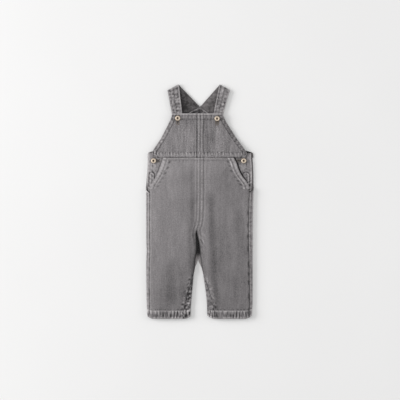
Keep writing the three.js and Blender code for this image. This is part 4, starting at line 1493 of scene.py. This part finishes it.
class DUNGAREES_OT_buttons(bpy.types.Operator):
    """Make the tack buttons: a rolled rim round a hollow centre, on a stem"""

    bl_idname = "dungarees.buttons"
    bl_label = "Buttons"

    def execute(self, context):
        c = context.scene.dungarees_colours
        metal = made("pale brass", pale_brass, tuple(c.metal), tuple(c.patina_and_shade))
        for name, spec in BUTTONS.items():
            piece = self.cap(spec)
            settle(piece, "metal_" + name)
            self.mark_patina_and_shade(piece, spec)
            piece.data.materials.append(metal)
            bpy.ops.object.shade_smooth_by_angle(angle=math.radians(40))
            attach(piece, "root")
            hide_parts(name)
        return {"FINISHED"}

    def cap(self, spec):
        x, y = spec["at"] - MIDDLE[:2]
        radius = BUTTON_RADIUS - BUTTON_BEVEL
        select_none()
        bpy.ops.mesh.primitive_cylinder_add(
            vertices=40, radius=radius * MM, depth=BUTTON_BASE * MM,
            location=(x * MM, y * MM, (spec["cap"] + BUTTON_BASE / 2) * MM),
        )
        piece = bpy.context.object
        select_faces(piece, lambda face: face.normal.z > 0.9)
        for inward, upward in BUTTON_STEPS:
            bpy.ops.mesh.inset(thickness=inward * MM, depth=upward * MM)
        bpy.ops.object.mode_set(mode="OBJECT")
        select_faces(piece, lambda face: face.normal.z < -0.9)
        bpy.ops.mesh.inset(thickness=(radius - STEM_RADIUS) * MM, depth=0)
        bpy.ops.mesh.extrude_region_move(
            TRANSFORM_OT_translate={"value": (0, 0, (spec["foot"] - spec["cap"]) * MM)}
        )
        bpy.ops.object.mode_set(mode="OBJECT")
        apply_modifier(piece, "SUBSURF", levels=1, render_levels=1)
        return piece

    def mark_patina_and_shade(self, piece, spec):
        """Stores where a cap is painted dark: tarnish and shade in its middle, and a painted shadow round its
        rim.
        """
        x, y = spec["at"] - MIDDLE[:2]
        places = np.array([v.co[:] for v in piece.data.vertices]) / MM
        reach = np.hypot(places[:, 0] - x, places[:, 1] - y)
        hollow = np.maximum(ease(3.1 - reach), ease((reach - 5.6) / 0.9))
        layer = piece.data.attributes.new("hollow", "FLOAT", "POINT")
        layer.data.foreach_set("value", hollow)


def select_faces(piece, wanted):
    select_none()
    bpy.context.view_layer.objects.active = piece
    piece.select_set(True)
    mesh = piece.data
    for part in (mesh.vertices, mesh.edges, mesh.polygons):
        part.foreach_set("select", [False] * len(part))
    for face in mesh.polygons:
        face.select = wanted(face)
    bpy.ops.object.mode_set(mode="EDIT")
    bpy.ops.mesh.select_mode(type="FACE")


class DUNGAREES_OT_stage(bpy.types.Operator):
    """Set the pale floor, the soft lights and the camera straight above"""

    bl_idname = "dungarees.stage"
    bl_label = "Studio"

    def execute(self, context):
        scene = context.scene
        select_none()
        bpy.ops.mesh.primitive_plane_add(size=8, location=(0, 0, -0.0005))
        floor = context.object
        settle(floor, "studio_floor")
        floor.data.materials.append(made("studio floor", studio_floor, tuple(scene.dungarees_colours.floor)))
        for name, place, size, power in LAMPS:
            self.lamp(name, place, size, power)
        world = bpy.data.worlds.new("studio")
        scene.world = world
        world.use_nodes = True
        background = world.node_tree.nodes["Background"]
        background.inputs["Color"].default_value = (1, 1, 1, 1)
        background.inputs["Strength"].default_value = 0.69
        scene.view_settings.view_transform = "Standard"
        self.camera(scene)
        return {"FINISHED"}

    def lamp(self, name, place, size, power):
        """A soft box that faces the middle of the garment."""
        select_none()
        bpy.ops.object.light_add(type="AREA", location=place)
        light = bpy.context.object
        light.name = name
        light.data.shape = "RECTANGLE"
        light.data.size, light.data.size_y = size
        light.data.energy = power
        x, y, z = place
        light.rotation_euler = (math.atan2(math.hypot(x, y), z), 0, math.atan2(-y, -x) - math.pi / 2)

    def camera(self, scene):
        sizes = scene.dungarees_sizes
        select_none()
        x, y = PICTURE_CENTRE
        bpy.ops.object.camera_add(location=(x * MM, y * MM, sizes.camera_height))
        camera = bpy.context.object
        camera.name = "camera"
        camera.data.type = "PERSP"
        camera.data.sensor_width = SENSOR
        camera.data.lens = SENSOR * sizes.camera_height / sizes.picture_width
        camera.data.clip_end = 50
        scene.camera = camera


# Point of the floor in the middle of the picture, and the camera's sensor, in millimetres
PICTURE_CENTRE = (0.55, 3.5)
SENSOR = 36

# Soft boxes: place and size in metres, power in watts
LAMPS = (
    ("key_light", (-4.7, 0.9, 1.4), (4.0, 1.6), 320),
    ("fill_light", (4.6, 0.7, 1.3), (4.0, 1.4), 75),
)

STEPS = (
    ("stage", DUNGAREES_OT_stage),
    ("back", DUNGAREES_OT_back),
    ("upper_back", DUNGAREES_OT_upper_back),
    ("straps", DUNGAREES_OT_straps),
    ("sides", DUNGAREES_OT_sides),
    ("front", DUNGAREES_OT_front),
    ("bib", DUNGAREES_OT_bib),
    ("stitches", DUNGAREES_OT_stitches),
    ("buttons", DUNGAREES_OT_buttons),
)


class DUNGAREES_PT_panel(bpy.types.Panel):
    bl_label = "Dungarees"
    bl_idname = "DUNGAREES_PT_panel"
    bl_space_type = "VIEW_3D"
    bl_region_type = "UI"
    bl_category = "Dungarees"

    def draw(self, context):
        for group in (context.scene.dungarees_sizes, context.scene.dungarees_colours):
            for key in group.__annotations__:
                self.layout.prop(group, key)
        for name, _ in STEPS:
            self.layout.operator("dungarees." + name)


CLASSES = (DungareesColours, DungareesSizes, *(operator for _, operator in STEPS), DUNGAREES_PT_panel)


def register():
    for part in CLASSES:
        bpy.utils.register_class(part)
    bpy.types.Scene.dungarees_colours = bpy.props.PointerProperty(type=DungareesColours)
    bpy.types.Scene.dungarees_sizes = bpy.props.PointerProperty(type=DungareesSizes)


def unregister():
    del bpy.types.Scene.dungarees_sizes
    del bpy.types.Scene.dungarees_colours
    for part in reversed(CLASSES):
        bpy.utils.unregister_class(part)


def main():
    register()
    for name, _ in STEPS:
        getattr(bpy.ops.dungarees, name)()


if __name__ == "__main__":
    main()
